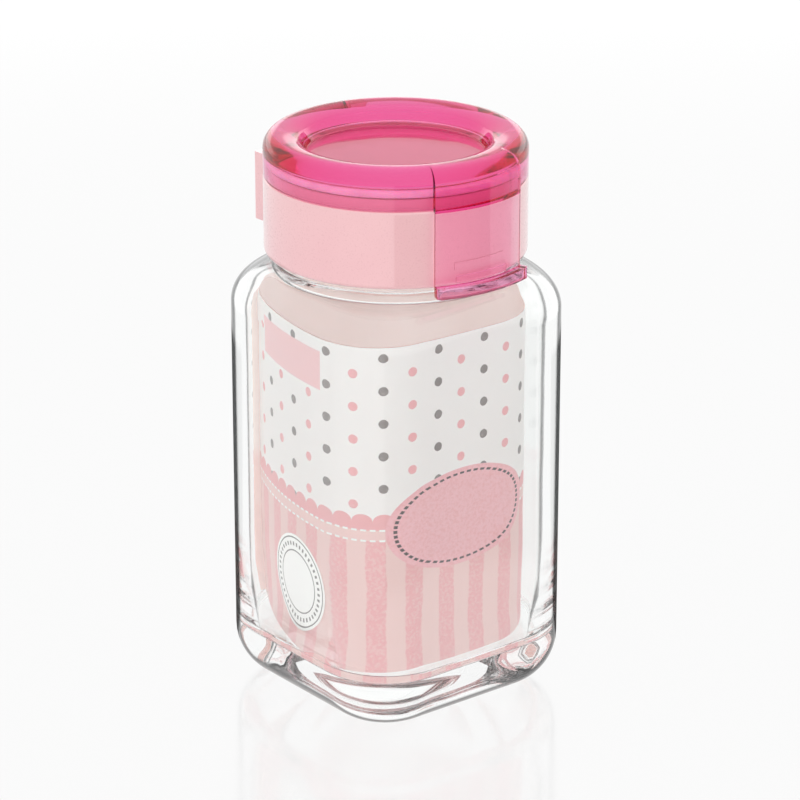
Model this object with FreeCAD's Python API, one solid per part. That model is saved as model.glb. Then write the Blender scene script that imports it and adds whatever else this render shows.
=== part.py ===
import FreeCAD, Part
import math
import os

# Square spice jar with a screw collar, a flip lid and a printed card folded round inside.
# Millimetres. The origin is the centre of the base, +Z is up, and the lid's finger tab faces -Y.

# Glass body
BODY_SIDE = 65.0
BODY_CORNER_R = 17.2
HEEL_R = 12.5
SHOULDER_R = 8.5
GLASS_WALL = 3.2
FLOOR_THICKNESS = 12.9
INNER_HEEL_R = 2.5
PUSH_UP_R = 14.0
PUSH_UP_DEPTH = 1.2

# Glass neck
NECK_R = 27.5
NECK_WALL = 3.0
NECK_HEIGHT = 19.4
NECK_RIM_ROUND = 0.9
BEAD_R = 1.5
BEAD_RISE = 2.0

# Screw thread
THREAD_PITCH = 4.23
THREAD_TURNS = 1.25
THREAD_DEPTH = 1.3
THREAD_ROOT_HALF = 1.1
THREAD_CREST_HALF = 0.45
THREAD_TOP_GAP = 4.2
THREAD_CLEARANCE = 0.4
CAP_RIDGE_ROOT_HALF = 0.8
CAP_RIDGE_CREST_HALF = 0.35
THREAD_SINK = 0.3

# Rim gasket
GASKET_THICKNESS = 1.5
GASKET_CLEARANCE = 0.5

# Screw collar
COLLAR_WALL = 1.55
COLLAR_HEIGHT = 18.5
COLLAR_EDGE_R = 1.2
DECK_THICKNESS = 2.6
MOUTH_INSET = 1.7
SPIGOT_INSET = 2.55
SPIGOT_WALL = 1.8
SPIGOT_HEIGHT = 2.6

# Sifter insert
SIFTER_FIT = 0.15
SIFTER_WALL = 1.2
SIFTER_DEPTH = 14.0
SIFTER_FLANGE = 1.0
SIFTER_FLANGE_GAP = 0.8
SIFTER_HOLE_R = 1.6
SIFTER_RING_STEP = 6.4
SIFTER_RINGS = 2
SIFTER_HOLES_PER_RING = 6

# Flip lid
LID_PARTING_GAP = 0.2
LID_HEIGHT = 9.5
LID_WALL = 1.8
RING_WIDTH = 8.4
CROWN_ROUND = 3.55
INNER_RIM_DROP = 1.4
WELL_SLOPE = 1.7
DISH_DEPTH = 4.8
PANEL_THICKNESS = 1.8
RIB_THICKNESS = 1.2
RIB_ANGLES = (90.0, 180.0, 270.0)

# Finger tab on the lid
TAB_HALF_ANGLE = 22.5
TAB_GAP = 0.45
TAB_THICKNESS = 1.3
TAB_REACH_BELOW_COLLAR = 1.4
TAB_CROWN_INSET = 0.8
LIP_REACH = 2.4
LIP_THICKNESS = 2.4
LIP_CORNER_R = 1.8
CATCH_HALF_ANGLE = 13.0
CATCH_HEIGHT = 1.6
CATCH_PROUD = 0.2
CATCH_RISE = 2.6
CATCH_BEAD_RISE = 5.6

# Lid seal ring
SEAL_GAP = 0.2
SEAL_THICKNESS = 1.8
SEAL_WIDTH = 3.2
SEAL_FIT = 0.15

# Hinge
PIN_R = 1.0
PIN_RUNNING_CLEARANCE = 0.05
PIN_END_INSET = 0.3
KNUCKLE_R = 1.9
HINGE_GAP = 0.35
HINGE_DROP = 3.5
BRACKET_HALF_WIDTH = 14.8
BRACKET_TOP_DROP = 0.6
BRACKET_FOOT_RISE = 0.5
BRACKET_CHAMFER = 1.6
KNUCKLE_HALF_WIDTH = 8.2
KNUCKLE_SIDE_GAP = 0.4
SLOT_DEPTH = 5.4
WEB_RISE = 5.0
WEB_BACK_OFFSET = 0.9

# Printed card and its round sticker
CARD_WALL_GAP = 4.8
CARD_SEAT_GAP = 0.05
CARD_THICKNESS = 0.35
CARD_CORNER_R = 13.0
CARD_HEIGHT = 82.0
CARD_HEADROOM = 8.6
CARD_SLIT = 1.4
CARD_END_RISE = 0.8
CARD_FLAP_GAP = 0.8
STICKER_R = 11.6
STICKER_THICKNESS = 0.12
STICKER_Y = 6.0
STICKER_RISE = 15.0

# Places worked out from the sizes above
SHOULDER_Z = FLOOR_THICKNESS + CARD_HEIGHT + CARD_HEADROOM
BORE_R = NECK_R - NECK_WALL
RIM_Z = SHOULDER_Z + NECK_HEIGHT
THREAD_R = NECK_R + THREAD_DEPTH
CAP_BORE_R = THREAD_R + THREAD_CLEARANCE
DECK_Z = RIM_Z + GASKET_THICKNESS
COLLAR_TOP_Z = DECK_Z + DECK_THICKNESS
COLLAR_FOOT_Z = COLLAR_TOP_Z - COLLAR_HEIGHT
COLLAR_R = CAP_BORE_R + COLLAR_WALL
MOUTH_R = BORE_R - MOUTH_INSET
SPIGOT_R = COLLAR_R - SPIGOT_INSET
SPIGOT_TOP_Z = COLLAR_TOP_Z + SPIGOT_HEIGHT
LID_R = COLLAR_R
LID_FOOT_Z = COLLAR_TOP_Z + LID_PARTING_GAP
LID_TOP_Z = LID_FOOT_Z + LID_HEIGHT
LID_BORE_R = LID_R - LID_WALL
SEAL_Z = SPIGOT_TOP_Z + SEAL_GAP
SEAL_TOP_Z = SEAL_Z + SEAL_THICKNESS
TAB_INNER_R = COLLAR_R + TAB_GAP
TAB_R = TAB_INNER_R + TAB_THICKNESS
TAB_FOOT_Z = COLLAR_FOOT_Z - TAB_REACH_BELOW_COLLAR
HINGE_Y = COLLAR_R + HINGE_GAP + KNUCKLE_R
HINGE_Z = COLLAR_TOP_Z - HINGE_DROP
BRACKET_BACK_Y = HINGE_Y + KNUCKLE_R
CARD_SIDE = BODY_SIDE - 2.0 * (GLASS_WALL + CARD_WALL_GAP)
HEEL_REACH = min(CARD_WALL_GAP, INNER_HEEL_R)
CARD_LIFT = INNER_HEEL_R - math.sqrt(HEEL_REACH * (2.0 * INNER_HEEL_R - HEEL_REACH))
CARD_FOOT_Z = FLOOR_THICKNESS + CARD_LIFT + CARD_SEAT_GAP
CARD_TOP_Z = CARD_FOOT_Z + CARD_HEIGHT
CORNER_CENTRE = BODY_SIDE / 2.0 - BODY_CORNER_R
FLAP_REACH_R = BODY_CORNER_R - GLASS_WALL - CARD_FLAP_GAP
FLAP_END_X = -CORNER_CENTRE - math.sqrt(FLAP_REACH_R ** 2 - (CARD_SIDE / 2.0 - CORNER_CENTRE) ** 2)
FLAP_FOOT_Z = FLOOR_THICKNESS + INNER_HEEL_R

# Margin by which cutting tools run past the faces that they cut, and a length taken as none
OVERSHOOT = 2.0
TINY = 1e-6
AXIS_Z = FreeCAD.Vector(0, 0, 1)
AXIS_X = FreeCAD.Vector(1, 0, 0)


def point(r, z):
    """A point of a turned profile, at radius r and height z."""
    return FreeCAD.Vector(r, 0, z)


def line(start, end):
    """A straight edge."""
    return Part.LineSegment(start, end).toShape()


def arc(centre, radius, start_deg, end_deg):
    """An arc of a turned profile about centre, with angles from +X towards +Z."""
    def on_circle(degrees):
        turn = math.radians(degrees)
        return centre + FreeCAD.Vector(radius * math.cos(turn), 0, radius * math.sin(turn))
    middle = on_circle((start_deg + end_deg) / 2.0)
    return Part.Arc(on_circle(start_deg), middle, on_circle(end_deg)).toShape()


def turned(edges, start_deg=0.0, sweep_deg=360.0):
    """The solid that a closed profile makes when it is turned about Z."""
    face = Part.Face(Part.Wire(edges))
    solid = face.revolve(FreeCAD.Vector(), AXIS_Z, sweep_deg)
    solid.rotate(FreeCAD.Vector(), AXIS_Z, start_deg)
    return solid


def closed_polygon(points):
    """The edges of a closed polygon through points."""
    return [line(a, b) for a, b in zip(points, points[1:] + points[:1])]


def cylinder(radius, low, high):
    """A cylinder about Z between two heights."""
    return Part.makeCylinder(radius, high - low, FreeCAD.Vector(0, 0, low))


def ring(outer, inner, low, high):
    """A plain ring about Z between two heights."""
    return cylinder(outer, low, high).cut(cylinder(inner, low - OVERSHOOT, high + OVERSHOOT))


def sector(outer, inner, low, high, half_angle):
    """A piece of a ring about Z, centred on the front, -Y."""
    corners = [point(inner, low), point(outer, low), point(outer, high), point(inner, high)]
    return turned(closed_polygon(corners), -90.0 - half_angle, 2.0 * half_angle)


def box(x, y, z):
    """A box between the pairs of values x, y and z."""
    corner = FreeCAD.Vector(x[0], y[0], z[0])
    return Part.makeBox(x[1] - x[0], y[1] - y[0], z[1] - z[0], corner)


def square_prism(side, corner_r, low, high):
    """An upright prism with a rounded square section."""
    half = side / 2.0
    block = box((-half, half), (-half, half), (low, high))
    upright = [e for e in block.Edges if abs(e.BoundBox.ZLength - (high - low)) < TINY]
    return block.makeFillet(corner_r, upright)


def edges_at(shape, z):
    """The edges of shape that lie flat at height z."""
    flat = [e for e in shape.Edges if e.BoundBox.ZLength < TINY]
    return [e for e in flat if abs(e.BoundBox.ZMin - z) < TINY]


def thread_ridge(root_r, crest_r, root_half, crest_half, start_z):
    """One helical ridge, right-handed, from a root radius to a crest radius."""
    profile = [
        point(root_r, start_z - root_half),
        point(crest_r, start_z - crest_half),
        point(crest_r, start_z + crest_half),
        point(root_r, start_z + root_half),
    ]
    helix = Part.makeHelix(THREAD_PITCH, THREAD_PITCH * THREAD_TURNS, root_r)
    helix.translate(FreeCAD.Vector(0, 0, start_z))
    section = Part.Wire(closed_polygon(profile))
    return Part.Wire(helix.Edges).makePipeShell([section], True, True)


def thread_start():
    """Height at which the middle of the glass thread starts."""
    return RIM_Z - THREAD_TOP_GAP - THREAD_PITCH * THREAD_TURNS


def glass_jar():
    """The jar body: rounded square, thick floor, round threaded neck."""
    body = square_prism(BODY_SIDE, BODY_CORNER_R, 0.0, SHOULDER_Z)
    body = body.makeFillet(HEEL_R, edges_at(body, 0.0))
    body = body.makeFillet(SHOULDER_R, edges_at(body, SHOULDER_Z))
    neck = cylinder(NECK_R, FLOOR_THICKNESS, RIM_Z)
    neck = neck.makeFillet(NECK_RIM_ROUND, edges_at(neck, RIM_Z))
    bead = Part.makeTorus(NECK_R, BEAD_R, FreeCAD.Vector(0, 0, SHOULDER_Z + BEAD_RISE))
    cavity_top = SHOULDER_Z - GLASS_WALL
    cavity = square_prism(
        BODY_SIDE - 2.0 * GLASS_WALL, BODY_CORNER_R - GLASS_WALL, FLOOR_THICKNESS, cavity_top)
    cavity = cavity.makeFillet(INNER_HEEL_R, edges_at(cavity, FLOOR_THICKNESS))
    cavity = cavity.makeFillet(SHOULDER_R - GLASS_WALL, edges_at(cavity, cavity_top))
    bore = cylinder(BORE_R, cavity_top - SHOULDER_R, RIM_Z + OVERSHOOT)
    ball_r = (PUSH_UP_R ** 2 + PUSH_UP_DEPTH ** 2) / (2.0 * PUSH_UP_DEPTH)
    push_up = Part.makeSphere(ball_r, FreeCAD.Vector(0, 0, PUSH_UP_DEPTH - ball_r))
    thread = thread_ridge(
        NECK_R - THREAD_SINK, THREAD_R, THREAD_ROOT_HALF, THREAD_CREST_HALF, thread_start())
    return body.fuse([neck, bead, thread]).cut(cavity.fuse(bore)).cut(push_up)


def rim_gasket():
    """The flat liner ring that seals the glass rim against the collar's deck."""
    return ring(CAP_BORE_R - GASKET_CLEARANCE, BORE_R, RIM_Z, DECK_Z)


def hinge_bracket():
    """The collar's hinge block at the back, slotted for the lid's knuckle."""
    width = (-BRACKET_HALF_WIDTH, BRACKET_HALF_WIDTH)
    foot_z = COLLAR_FOOT_Z + BRACKET_FOOT_RISE
    top_z = COLLAR_TOP_Z - BRACKET_TOP_DROP
    outline = [
        FreeCAD.Vector(width[0], 0, foot_z),
        FreeCAD.Vector(width[0], BRACKET_BACK_Y - BRACKET_CHAMFER, foot_z),
        FreeCAD.Vector(width[0], BRACKET_BACK_Y, foot_z + BRACKET_CHAMFER),
        FreeCAD.Vector(width[0], BRACKET_BACK_Y, top_z - BRACKET_CHAMFER / 2.0),
        FreeCAD.Vector(width[0], BRACKET_BACK_Y - BRACKET_CHAMFER / 2.0, top_z),
        FreeCAD.Vector(width[0], 0, top_z),
    ]
    face = Part.Face(Part.Wire(closed_polygon(outline)))
    block = face.extrude(AXIS_X * (width[1] - width[0]))
    slot_half = KNUCKLE_HALF_WIDTH + KNUCKLE_SIDE_GAP
    slot = box(
        (-slot_half, slot_half),
        (0.0, BRACKET_BACK_Y + OVERSHOOT),
        (HINGE_Z - SLOT_DEPTH, COLLAR_TOP_Z + OVERSHOOT))
    block = block.cut(slot.cut(cylinder(COLLAR_R, 0.0, LID_TOP_Z)))
    return block.cut(pin_rod(PIN_R, BRACKET_HALF_WIDTH + OVERSHOOT))


def pin_rod(radius, half_length):
    """A rod along the hinge axis."""
    start = FreeCAD.Vector(-half_length, HINGE_Y, HINGE_Z)
    return Part.makeCylinder(radius, 2.0 * half_length, start, AXIS_X)


def screw_collar():
    """The threaded collar with its deck, spigot, catch bead and hinge block."""
    shell = cylinder(COLLAR_R, COLLAR_FOOT_Z, COLLAR_TOP_Z)
    shell = shell.makeFillet(COLLAR_EDGE_R, edges_at(shell, COLLAR_FOOT_Z))
    spigot = ring(SPIGOT_R, SPIGOT_R - SPIGOT_WALL, COLLAR_TOP_Z - DECK_THICKNESS, SPIGOT_TOP_Z)
    bead_z = TAB_FOOT_Z + CATCH_BEAD_RISE
    bead = sector(COLLAR_R + CATCH_PROUD, CAP_BORE_R, bead_z, bead_z + CATCH_HEIGHT, CATCH_HALF_ANGLE)
    collar = shell.fuse([spigot, bead, hinge_bracket()])
    collar = collar.cut(cylinder(CAP_BORE_R, COLLAR_FOOT_Z - OVERSHOOT, DECK_Z))
    collar = collar.cut(cylinder(MOUTH_R, DECK_Z - OVERSHOOT, SPIGOT_TOP_Z + OVERSHOOT))
    ridge = thread_ridge(
        CAP_BORE_R + THREAD_SINK,
        NECK_R + THREAD_CLEARANCE,
        CAP_RIDGE_ROOT_HALF,
        CAP_RIDGE_CREST_HALF,
        thread_start() - THREAD_PITCH / 2.0)
    return collar.fuse(ridge)


def sifter_insert():
    """The perforated cup that snaps into the collar's mouth."""
    wall_r = MOUTH_R - SIFTER_FIT
    floor_z = COLLAR_TOP_Z - SIFTER_DEPTH
    flange_top = COLLAR_TOP_Z + SIFTER_FLANGE
    flange_r = SPIGOT_R - SPIGOT_WALL - SIFTER_FLANGE_GAP
    cup = cylinder(wall_r, floor_z, flange_top).fuse(cylinder(flange_r, COLLAR_TOP_Z, flange_top))
    cup = cup.cut(cylinder(wall_r - SIFTER_WALL, floor_z + SIFTER_WALL, flange_top + OVERSHOOT))
    hole = cylinder(SIFTER_HOLE_R, floor_z - OVERSHOOT, floor_z + SIFTER_WALL + OVERSHOOT)
    holes = [hole]
    for step in range(1, SIFTER_RINGS + 1):
        count = SIFTER_HOLES_PER_RING * step
        for index in range(count):
            turn = 2.0 * math.pi * index / count
            reach = SIFTER_RING_STEP * step
            copy = hole.copy()
            copy.translate(FreeCAD.Vector(reach * math.cos(turn), reach * math.sin(turn), 0))
            holes.append(copy)
    return cup.cut(Part.makeCompound(holes))


def lid_shell():
    """The lid's turned shell: skirt, rounded crown, sloping well and sunken panel."""
    crown = point(LID_R - CROWN_ROUND, LID_TOP_Z - CROWN_ROUND)
    inner_run = RING_WIDTH - CROWN_ROUND
    inner_arc_r = (inner_run ** 2 + INNER_RIM_DROP ** 2) / (2.0 * INNER_RIM_DROP)
    inner_centre = point(LID_R - CROWN_ROUND, LID_TOP_Z - inner_arc_r)
    inner_end = 90.0 + math.degrees(math.asin(inner_run / inner_arc_r))
    panel_r = LID_R - RING_WIDTH - WELL_SLOPE
    panel_z = LID_TOP_Z - DISH_DEPTH
    panel_foot_z = panel_z - PANEL_THICKNESS
    dome = arc(crown, CROWN_ROUND, 0.0, 90.0)
    slope = arc(inner_centre, inner_arc_r, 90.0, inner_end)
    under_dome = arc(crown, CROWN_ROUND - LID_WALL, 90.0, 0.0)
    under_slope = arc(inner_centre, inner_arc_r - LID_WALL, inner_end, 90.0)
    rim = slope.lastVertex().Point
    under_rim = under_slope.firstVertex().Point
    well_lean = (rim.x - panel_r) / (rim.z - panel_z)
    under_panel_r = under_rim.x - well_lean * (under_rim.z - panel_foot_z)
    edges = [
        line(point(LID_R, LID_FOOT_Z), point(LID_R, crown.z)),
        dome,
        slope,
        line(rim, point(panel_r, panel_z)),
        line(point(panel_r, panel_z), point(0.0, panel_z)),
        line(point(0.0, panel_z), point(0.0, panel_foot_z)),
        line(point(0.0, panel_foot_z), point(under_panel_r, panel_foot_z)),
        line(point(under_panel_r, panel_foot_z), under_rim),
        under_slope,
        under_dome,
        line(point(LID_BORE_R, crown.z), point(LID_BORE_R, LID_FOOT_Z)),
        line(point(LID_BORE_R, LID_FOOT_Z), point(LID_R, LID_FOOT_Z)),
    ]
    return turned(edges)


def lid_tab():
    """The proud strip over the ring's front that ends in a finger lip."""
    crown_r = LID_R - CROWN_ROUND
    round_r = TAB_R - crown_r - TAB_CROWN_INSET
    top_centre = point(crown_r + TAB_CROWN_INSET, LID_TOP_Z - round_r)
    sunk_r = CROWN_ROUND - LID_WALL / 2.0
    sunk_centre = point(crown_r, LID_TOP_Z - CROWN_ROUND)
    edges = [
        line(point(TAB_INNER_R, TAB_FOOT_Z), point(TAB_R, TAB_FOOT_Z)),
        line(point(TAB_R, TAB_FOOT_Z), point(TAB_R, top_centre.z)),
        arc(top_centre, round_r, 0.0, 90.0),
        line(point(top_centre.x, LID_TOP_Z), point(crown_r, LID_TOP_Z)),
        line(point(crown_r, LID_TOP_Z), point(crown_r, sunk_centre.z + sunk_r)),
        arc(sunk_centre, sunk_r, 90.0, 0.0),
        line(point(crown_r + sunk_r, sunk_centre.z), point(crown_r + sunk_r, LID_FOOT_Z)),
        line(point(crown_r + sunk_r, LID_FOOT_Z), point(TAB_INNER_R, LID_FOOT_Z)),
        line(point(TAB_INNER_R, LID_FOOT_Z), point(TAB_INNER_R, TAB_FOOT_Z)),
    ]
    strip = turned(edges, -90.0 - TAB_HALF_ANGLE, 2.0 * TAB_HALF_ANGLE)
    lip_r = TAB_R + LIP_REACH
    lip = sector(lip_r, TAB_INNER_R, TAB_FOOT_Z, TAB_FOOT_Z + LIP_THICKNESS, TAB_HALF_ANGLE)
    upright = [e for e in lip.Edges if abs(e.BoundBox.ZLength - LIP_THICKNESS) < TINY]
    lip = lip.makeFillet(LIP_CORNER_R, [e for e in upright if radius_of(e) > TAB_R])
    tooth_z = TAB_FOOT_Z + CATCH_RISE
    tooth = sector(
        TAB_R - TAB_THICKNESS / 2.0,
        TAB_INNER_R - CATCH_PROUD,
        tooth_z,
        tooth_z + CATCH_HEIGHT,
        CATCH_HALF_ANGLE)
    return strip.fuse([lip, tooth])


def radius_of(edge):
    """Distance of an upright edge from the Z axis."""
    start = edge.firstVertex().Point
    return math.hypot(start.x, start.y)


def lid_ribs():
    """The ribs under the ring that the seal's upper face bears on."""
    crown_r = LID_R - CROWN_ROUND
    rib_block = box(
        (crown_r - SEAL_WIDTH, LID_R - LID_WALL / 2.0),
        (-RIB_THICKNESS / 2.0, RIB_THICKNESS / 2.0),
        (SEAL_TOP_Z, LID_TOP_Z - LID_WALL / 2.0))
    ribs = []
    for angle in RIB_ANGLES:
        rib = rib_block.copy()
        rib.rotate(FreeCAD.Vector(), AXIS_Z, angle - 90.0)
        ribs.append(rib)
    return ribs


def lid_knuckle():
    """The hinge knuckle and the web that joins it to the lid's skirt."""
    clear_y = COLLAR_R + HINGE_GAP
    back_y = HINGE_Y + WEB_BACK_OFFSET
    web_top = LID_FOOT_Z + WEB_RISE
    outline = [
        FreeCAD.Vector(-KNUCKLE_HALF_WIDTH, clear_y, HINGE_Z),
        FreeCAD.Vector(-KNUCKLE_HALF_WIDTH, back_y, HINGE_Z),
        FreeCAD.Vector(-KNUCKLE_HALF_WIDTH, back_y, web_top - HINGE_Y + COLLAR_R),
        FreeCAD.Vector(-KNUCKLE_HALF_WIDTH, COLLAR_R, web_top),
        FreeCAD.Vector(-KNUCKLE_HALF_WIDTH, 0.0, web_top),
        FreeCAD.Vector(-KNUCKLE_HALF_WIDTH, 0.0, LID_FOOT_Z),
        FreeCAD.Vector(-KNUCKLE_HALF_WIDTH, clear_y, LID_FOOT_Z),
    ]
    face = Part.Face(Part.Wire(closed_polygon(outline)))
    web = face.extrude(AXIS_X * (2.0 * KNUCKLE_HALF_WIDTH))
    web = web.cut(cylinder(LID_R - LID_WALL / 2.0, 0.0, LID_TOP_Z))
    return web.fuse(pin_rod(KNUCKLE_R, KNUCKLE_HALF_WIDTH))


def flip_lid():
    """The whole lid moulding."""
    lid = lid_shell().fuse([lid_tab(), lid_knuckle()] + lid_ribs())
    return lid.cut(pin_rod(PIN_R + PIN_RUNNING_CLEARANCE, KNUCKLE_HALF_WIDTH + OVERSHOOT))


def lid_seal():
    """The silicone ring inside the lid that lands on the collar's spigot."""
    outer = LID_BORE_R - SEAL_FIT
    return ring(outer, outer - SEAL_WIDTH, SEAL_Z, SEAL_TOP_Z)


def hinge_pin():
    """The steel pin through the bracket's ears and the knuckle."""
    return pin_rod(PIN_R, BRACKET_HALF_WIDTH - PIN_END_INSET)


def paper_insert():
    """The printed card: a sleeve that is open at one corner, where its back runs on as a flap."""
    face = CARD_SIDE / 2.0
    lining = face - CARD_THICKNESS
    bend_start = face - CARD_CORNER_R
    past = (CARD_FOOT_Z - OVERSHOOT, CARD_TOP_Z + OVERSHOOT)
    hollow = square_prism(2.0 * lining, CARD_CORNER_R - CARD_THICKNESS, *past)
    sleeve = square_prism(CARD_SIDE, CARD_CORNER_R, CARD_FOOT_Z, CARD_TOP_Z).cut(hollow)
    corner = box((-CARD_SIDE, -bend_start), (bend_start, CARD_SIDE), past)
    end = box(
        (-face, -lining), (bend_start, lining - CARD_SLIT), (CARD_FOOT_Z + CARD_END_RISE, CARD_TOP_Z))
    flap = box((FLAP_END_X, -bend_start), (lining, face), (FLAP_FOOT_Z, CARD_TOP_Z))
    return sleeve.cut(corner).fuse([end, flap])


def round_sticker():
    """The round paper sticker on the card's left side."""
    start = FreeCAD.Vector(-CARD_SIDE / 2.0, STICKER_Y, CARD_FOOT_Z + STICKER_RISE)
    return Part.makeCylinder(STICKER_R, STICKER_THICKNESS, start, -AXIS_X)


PIECES = (
    glass_jar,
    rim_gasket,
    screw_collar,
    sifter_insert,
    flip_lid,
    lid_seal,
    hinge_pin,
    paper_insert,
    round_sticker,
)

os.makedirs("parts", exist_ok=True)
for piece in PIECES:
    shape = piece().removeSplitter()
    shape.exportStep("parts/" + piece.__name__ + ".step")
    print(piece.__name__, len(shape.Solids), "solids, valid", shape.isValid(), round(shape.Volume, 1))
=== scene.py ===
"""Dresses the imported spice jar: clear glass, satin and see-through plastic, and a printed card.

Pieces are modelled in millimetres, in the frame of the CAD model, and turned into metres when
they are finished. The lid's finger tab faces -Y, and the jar stands on z = 0.
"""

import logging
import math
from collections.abc import Callable, Sequence
from dataclasses import dataclass, field
from enum import Enum

import bmesh
import bpy
from bmesh.types import BMEdge, BMesh, BMFace, BMVert
from bpy.types import Material, NodeSocket, NodeTree, Object
from mathutils import Matrix, Vector


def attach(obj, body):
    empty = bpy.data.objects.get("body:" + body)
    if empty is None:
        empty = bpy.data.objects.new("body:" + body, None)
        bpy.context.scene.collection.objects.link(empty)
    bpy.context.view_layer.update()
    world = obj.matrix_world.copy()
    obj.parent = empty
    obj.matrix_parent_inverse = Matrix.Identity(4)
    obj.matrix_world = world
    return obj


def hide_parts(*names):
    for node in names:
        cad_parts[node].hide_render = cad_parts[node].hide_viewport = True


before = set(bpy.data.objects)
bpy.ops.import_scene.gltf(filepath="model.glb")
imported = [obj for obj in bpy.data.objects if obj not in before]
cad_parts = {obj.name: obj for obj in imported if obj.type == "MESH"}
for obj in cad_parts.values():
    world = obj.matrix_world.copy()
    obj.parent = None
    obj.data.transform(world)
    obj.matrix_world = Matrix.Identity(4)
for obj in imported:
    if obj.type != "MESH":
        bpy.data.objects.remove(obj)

log = logging.getLogger("spice_jar")

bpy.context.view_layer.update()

METRES = 0.001
WELD = 1e-4
ON_SURFACE = 0.02
SHARP_ANGLE = 38.0
TURN_STEPS = 192
HELIX_STEPS = 96
CLEAR_BOUNCES = 28
FULL_TURN = 2.0 * math.pi
FRONT = -90.0
BACK = 90.0

Colour = tuple[float, float, float, float]
WHITE: Colour = (1.0, 1.0, 1.0, 1.0)


class Body(Enum):
    """The bodies of the CAD model that pieces ride on."""

    JAR = "jar"
    LINER = "liner"
    COLLAR = "collar"
    LID = "lid"


class Slot(Enum):
    """The material slots of the record, which the finishes are named after."""

    GLASS = "clear_glass"
    LINER = "liner"
    COLLAR = "pale_pink_plastic"
    SIFTER = "sifter_plastic"
    LID = "translucent_pink_plastic"
    SILICONE = "silicone"
    STEEL = "steel"
    CARD = "printed_card"
    STICKER = "sticker_paper"


class Joining(Enum):
    """What is done with a second mesh that is brought to a piece."""

    ADD = "UNION"
    CUT = "DIFFERENCE"


def srgb(red: int, green: int, blue: int) -> Colour:
    """A display colour as the linear colour that shaders take.

    Args:
        red: Red, from 0 to 255.
        green: Green, from 0 to 255.
        blue: Blue, from 0 to 255.

    Returns:
        The linear colour.
    """

    def linear(channel: int) -> float:
        """One channel without the display's curve."""
        share = channel / 255.0
        return share / 12.92 if share <= 0.04045 else ((share + 0.055) / 1.055) ** 2.4

    return (linear(red), linear(green), linear(blue), 1.0)


# Node helpers


@dataclass(frozen=True)
class Signal:
    """A number that varies over a surface, with arithmetic that adds Math nodes."""

    tree: NodeTree
    socket: NodeSocket

    def apply(self, operation: str, *others: "Signal | float") -> "Signal":
        """This signal and others put through one Math node.

        Args:
            operation: Name of the Math node's operation.
            others: Further inputs, as signals or plain numbers.

        Returns:
            The node's result.
        """
        node = self.tree.nodes.new("ShaderNodeMath")
        node.operation = operation
        for index, value in enumerate((self, *others)):
            if isinstance(value, Signal):
                self.tree.links.new(value.socket, node.inputs[index])
            else:
                node.inputs[index].default_value = value
        return Signal(self.tree, node.outputs[0])

    def __add__(self, other: "Signal | float") -> "Signal":
        """The sum."""
        return self.apply("ADD", other)

    def __sub__(self, other: "Signal | float") -> "Signal":
        """The difference."""
        return self.apply("SUBTRACT", other)

    def __mul__(self, other: "Signal | float") -> "Signal":
        """The product."""
        return self.apply("MULTIPLY", other)

    def __truediv__(self, other: "Signal | float") -> "Signal":
        """The quotient."""
        return self.apply("DIVIDE", other)

    def __abs__(self) -> "Signal":
        """The size without the sign."""
        return self.apply("ABSOLUTE")

    def hypot(self, other: "Signal") -> "Signal":
        """Length of the vector made of this signal and another."""
        return (self * self + other * other).apply("SQRT")

    def cell(self, pitch: float) -> "Signal":
        """Number of the nearest line of a grid with that pitch."""
        return (self / pitch).apply("ROUND")

    def offset(self, pitch: float) -> "Signal":
        """Distance past the nearest line of a grid with that pitch."""
        return self - self.cell(pitch) * pitch

    def parity(self) -> "Signal":
        """0 for even and 1 for odd whole numbers."""
        return self.apply("FLOORED_MODULO", 2.0)

    def span(self, low: float, high: float, to_low: float = 0.0, to_high: float = 1.0) -> "Signal":
        """This signal mapped smoothly to another range, and held outside it.

        Args:
            low: Value that becomes to_low.
            high: Value that becomes to_high.
            to_low: Result at low and below.
            to_high: Result at high and above.

        Returns:
            The mapped signal.
        """
        node = self.tree.nodes.new("ShaderNodeMapRange")
        node.interpolation_type = "SMOOTHSTEP"
        self.tree.links.new(self.socket, node.inputs["Value"])
        node.inputs["From Min"].default_value = low
        node.inputs["From Max"].default_value = high
        node.inputs["To Min"].default_value = to_low
        node.inputs["To Max"].default_value = to_high
        return Signal(self.tree, node.outputs["Result"])

    def below(self, limit: float, soft: float) -> "Signal":
        """1 where this signal is under limit, 0 above it, with a soft step."""
        return self.span(limit - soft, limit + soft, 1.0, 0.0)

    def above(self, limit: float, soft: float) -> "Signal":
        """1 where this signal is over limit, 0 under it, with a soft step."""
        return self.span(limit - soft, limit + soft)

    def within(self, low: float, high: float, soft: float) -> "Signal":
        """1 between low and high, with soft steps."""
        return self.above(low, soft) * self.below(high, soft)


def rays(tree: NodeTree, *kinds: str) -> list[Signal]:
    """For each kind of ray that a Light Path node knows, 1 where the ray is of that kind."""
    path = tree.nodes.new("ShaderNodeLightPath")
    return [Signal(tree, path.outputs[f"Is {kind} Ray"]) for kind in kinds]


def seen_directly(tree: NodeTree) -> Signal:
    """1 for what is seen by itself, through glass or mirrored, and 0 for light on surfaces."""
    camera, mirrored, through = rays(tree, "Camera", "Glossy", "Transmission")
    return camera.apply("MAXIMUM", mirrored).apply("MAXIMUM", through)


def mirrored_only(tree: NodeTree) -> Signal:
    """1 for what glossy surfaces mirror, and 0 for what is seen by itself or through glass."""
    mirrored, through = rays(tree, "Glossy", "Transmission")
    return (mirrored - through).apply("MAXIMUM", 0.0)


def axes(tree: NodeTree, vector: NodeSocket) -> list[Signal]:
    """The X, Y and Z of a vector.

    Args:
        tree: Tree that holds the vector.
        vector: The vector's socket.

    Returns:
        One signal for each axis.
    """
    split = tree.nodes.new("ShaderNodeSeparateXYZ")
    tree.links.new(vector, split.inputs["Vector"])
    return [Signal(tree, split.outputs[axis]) for axis in "XYZ"]


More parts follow.
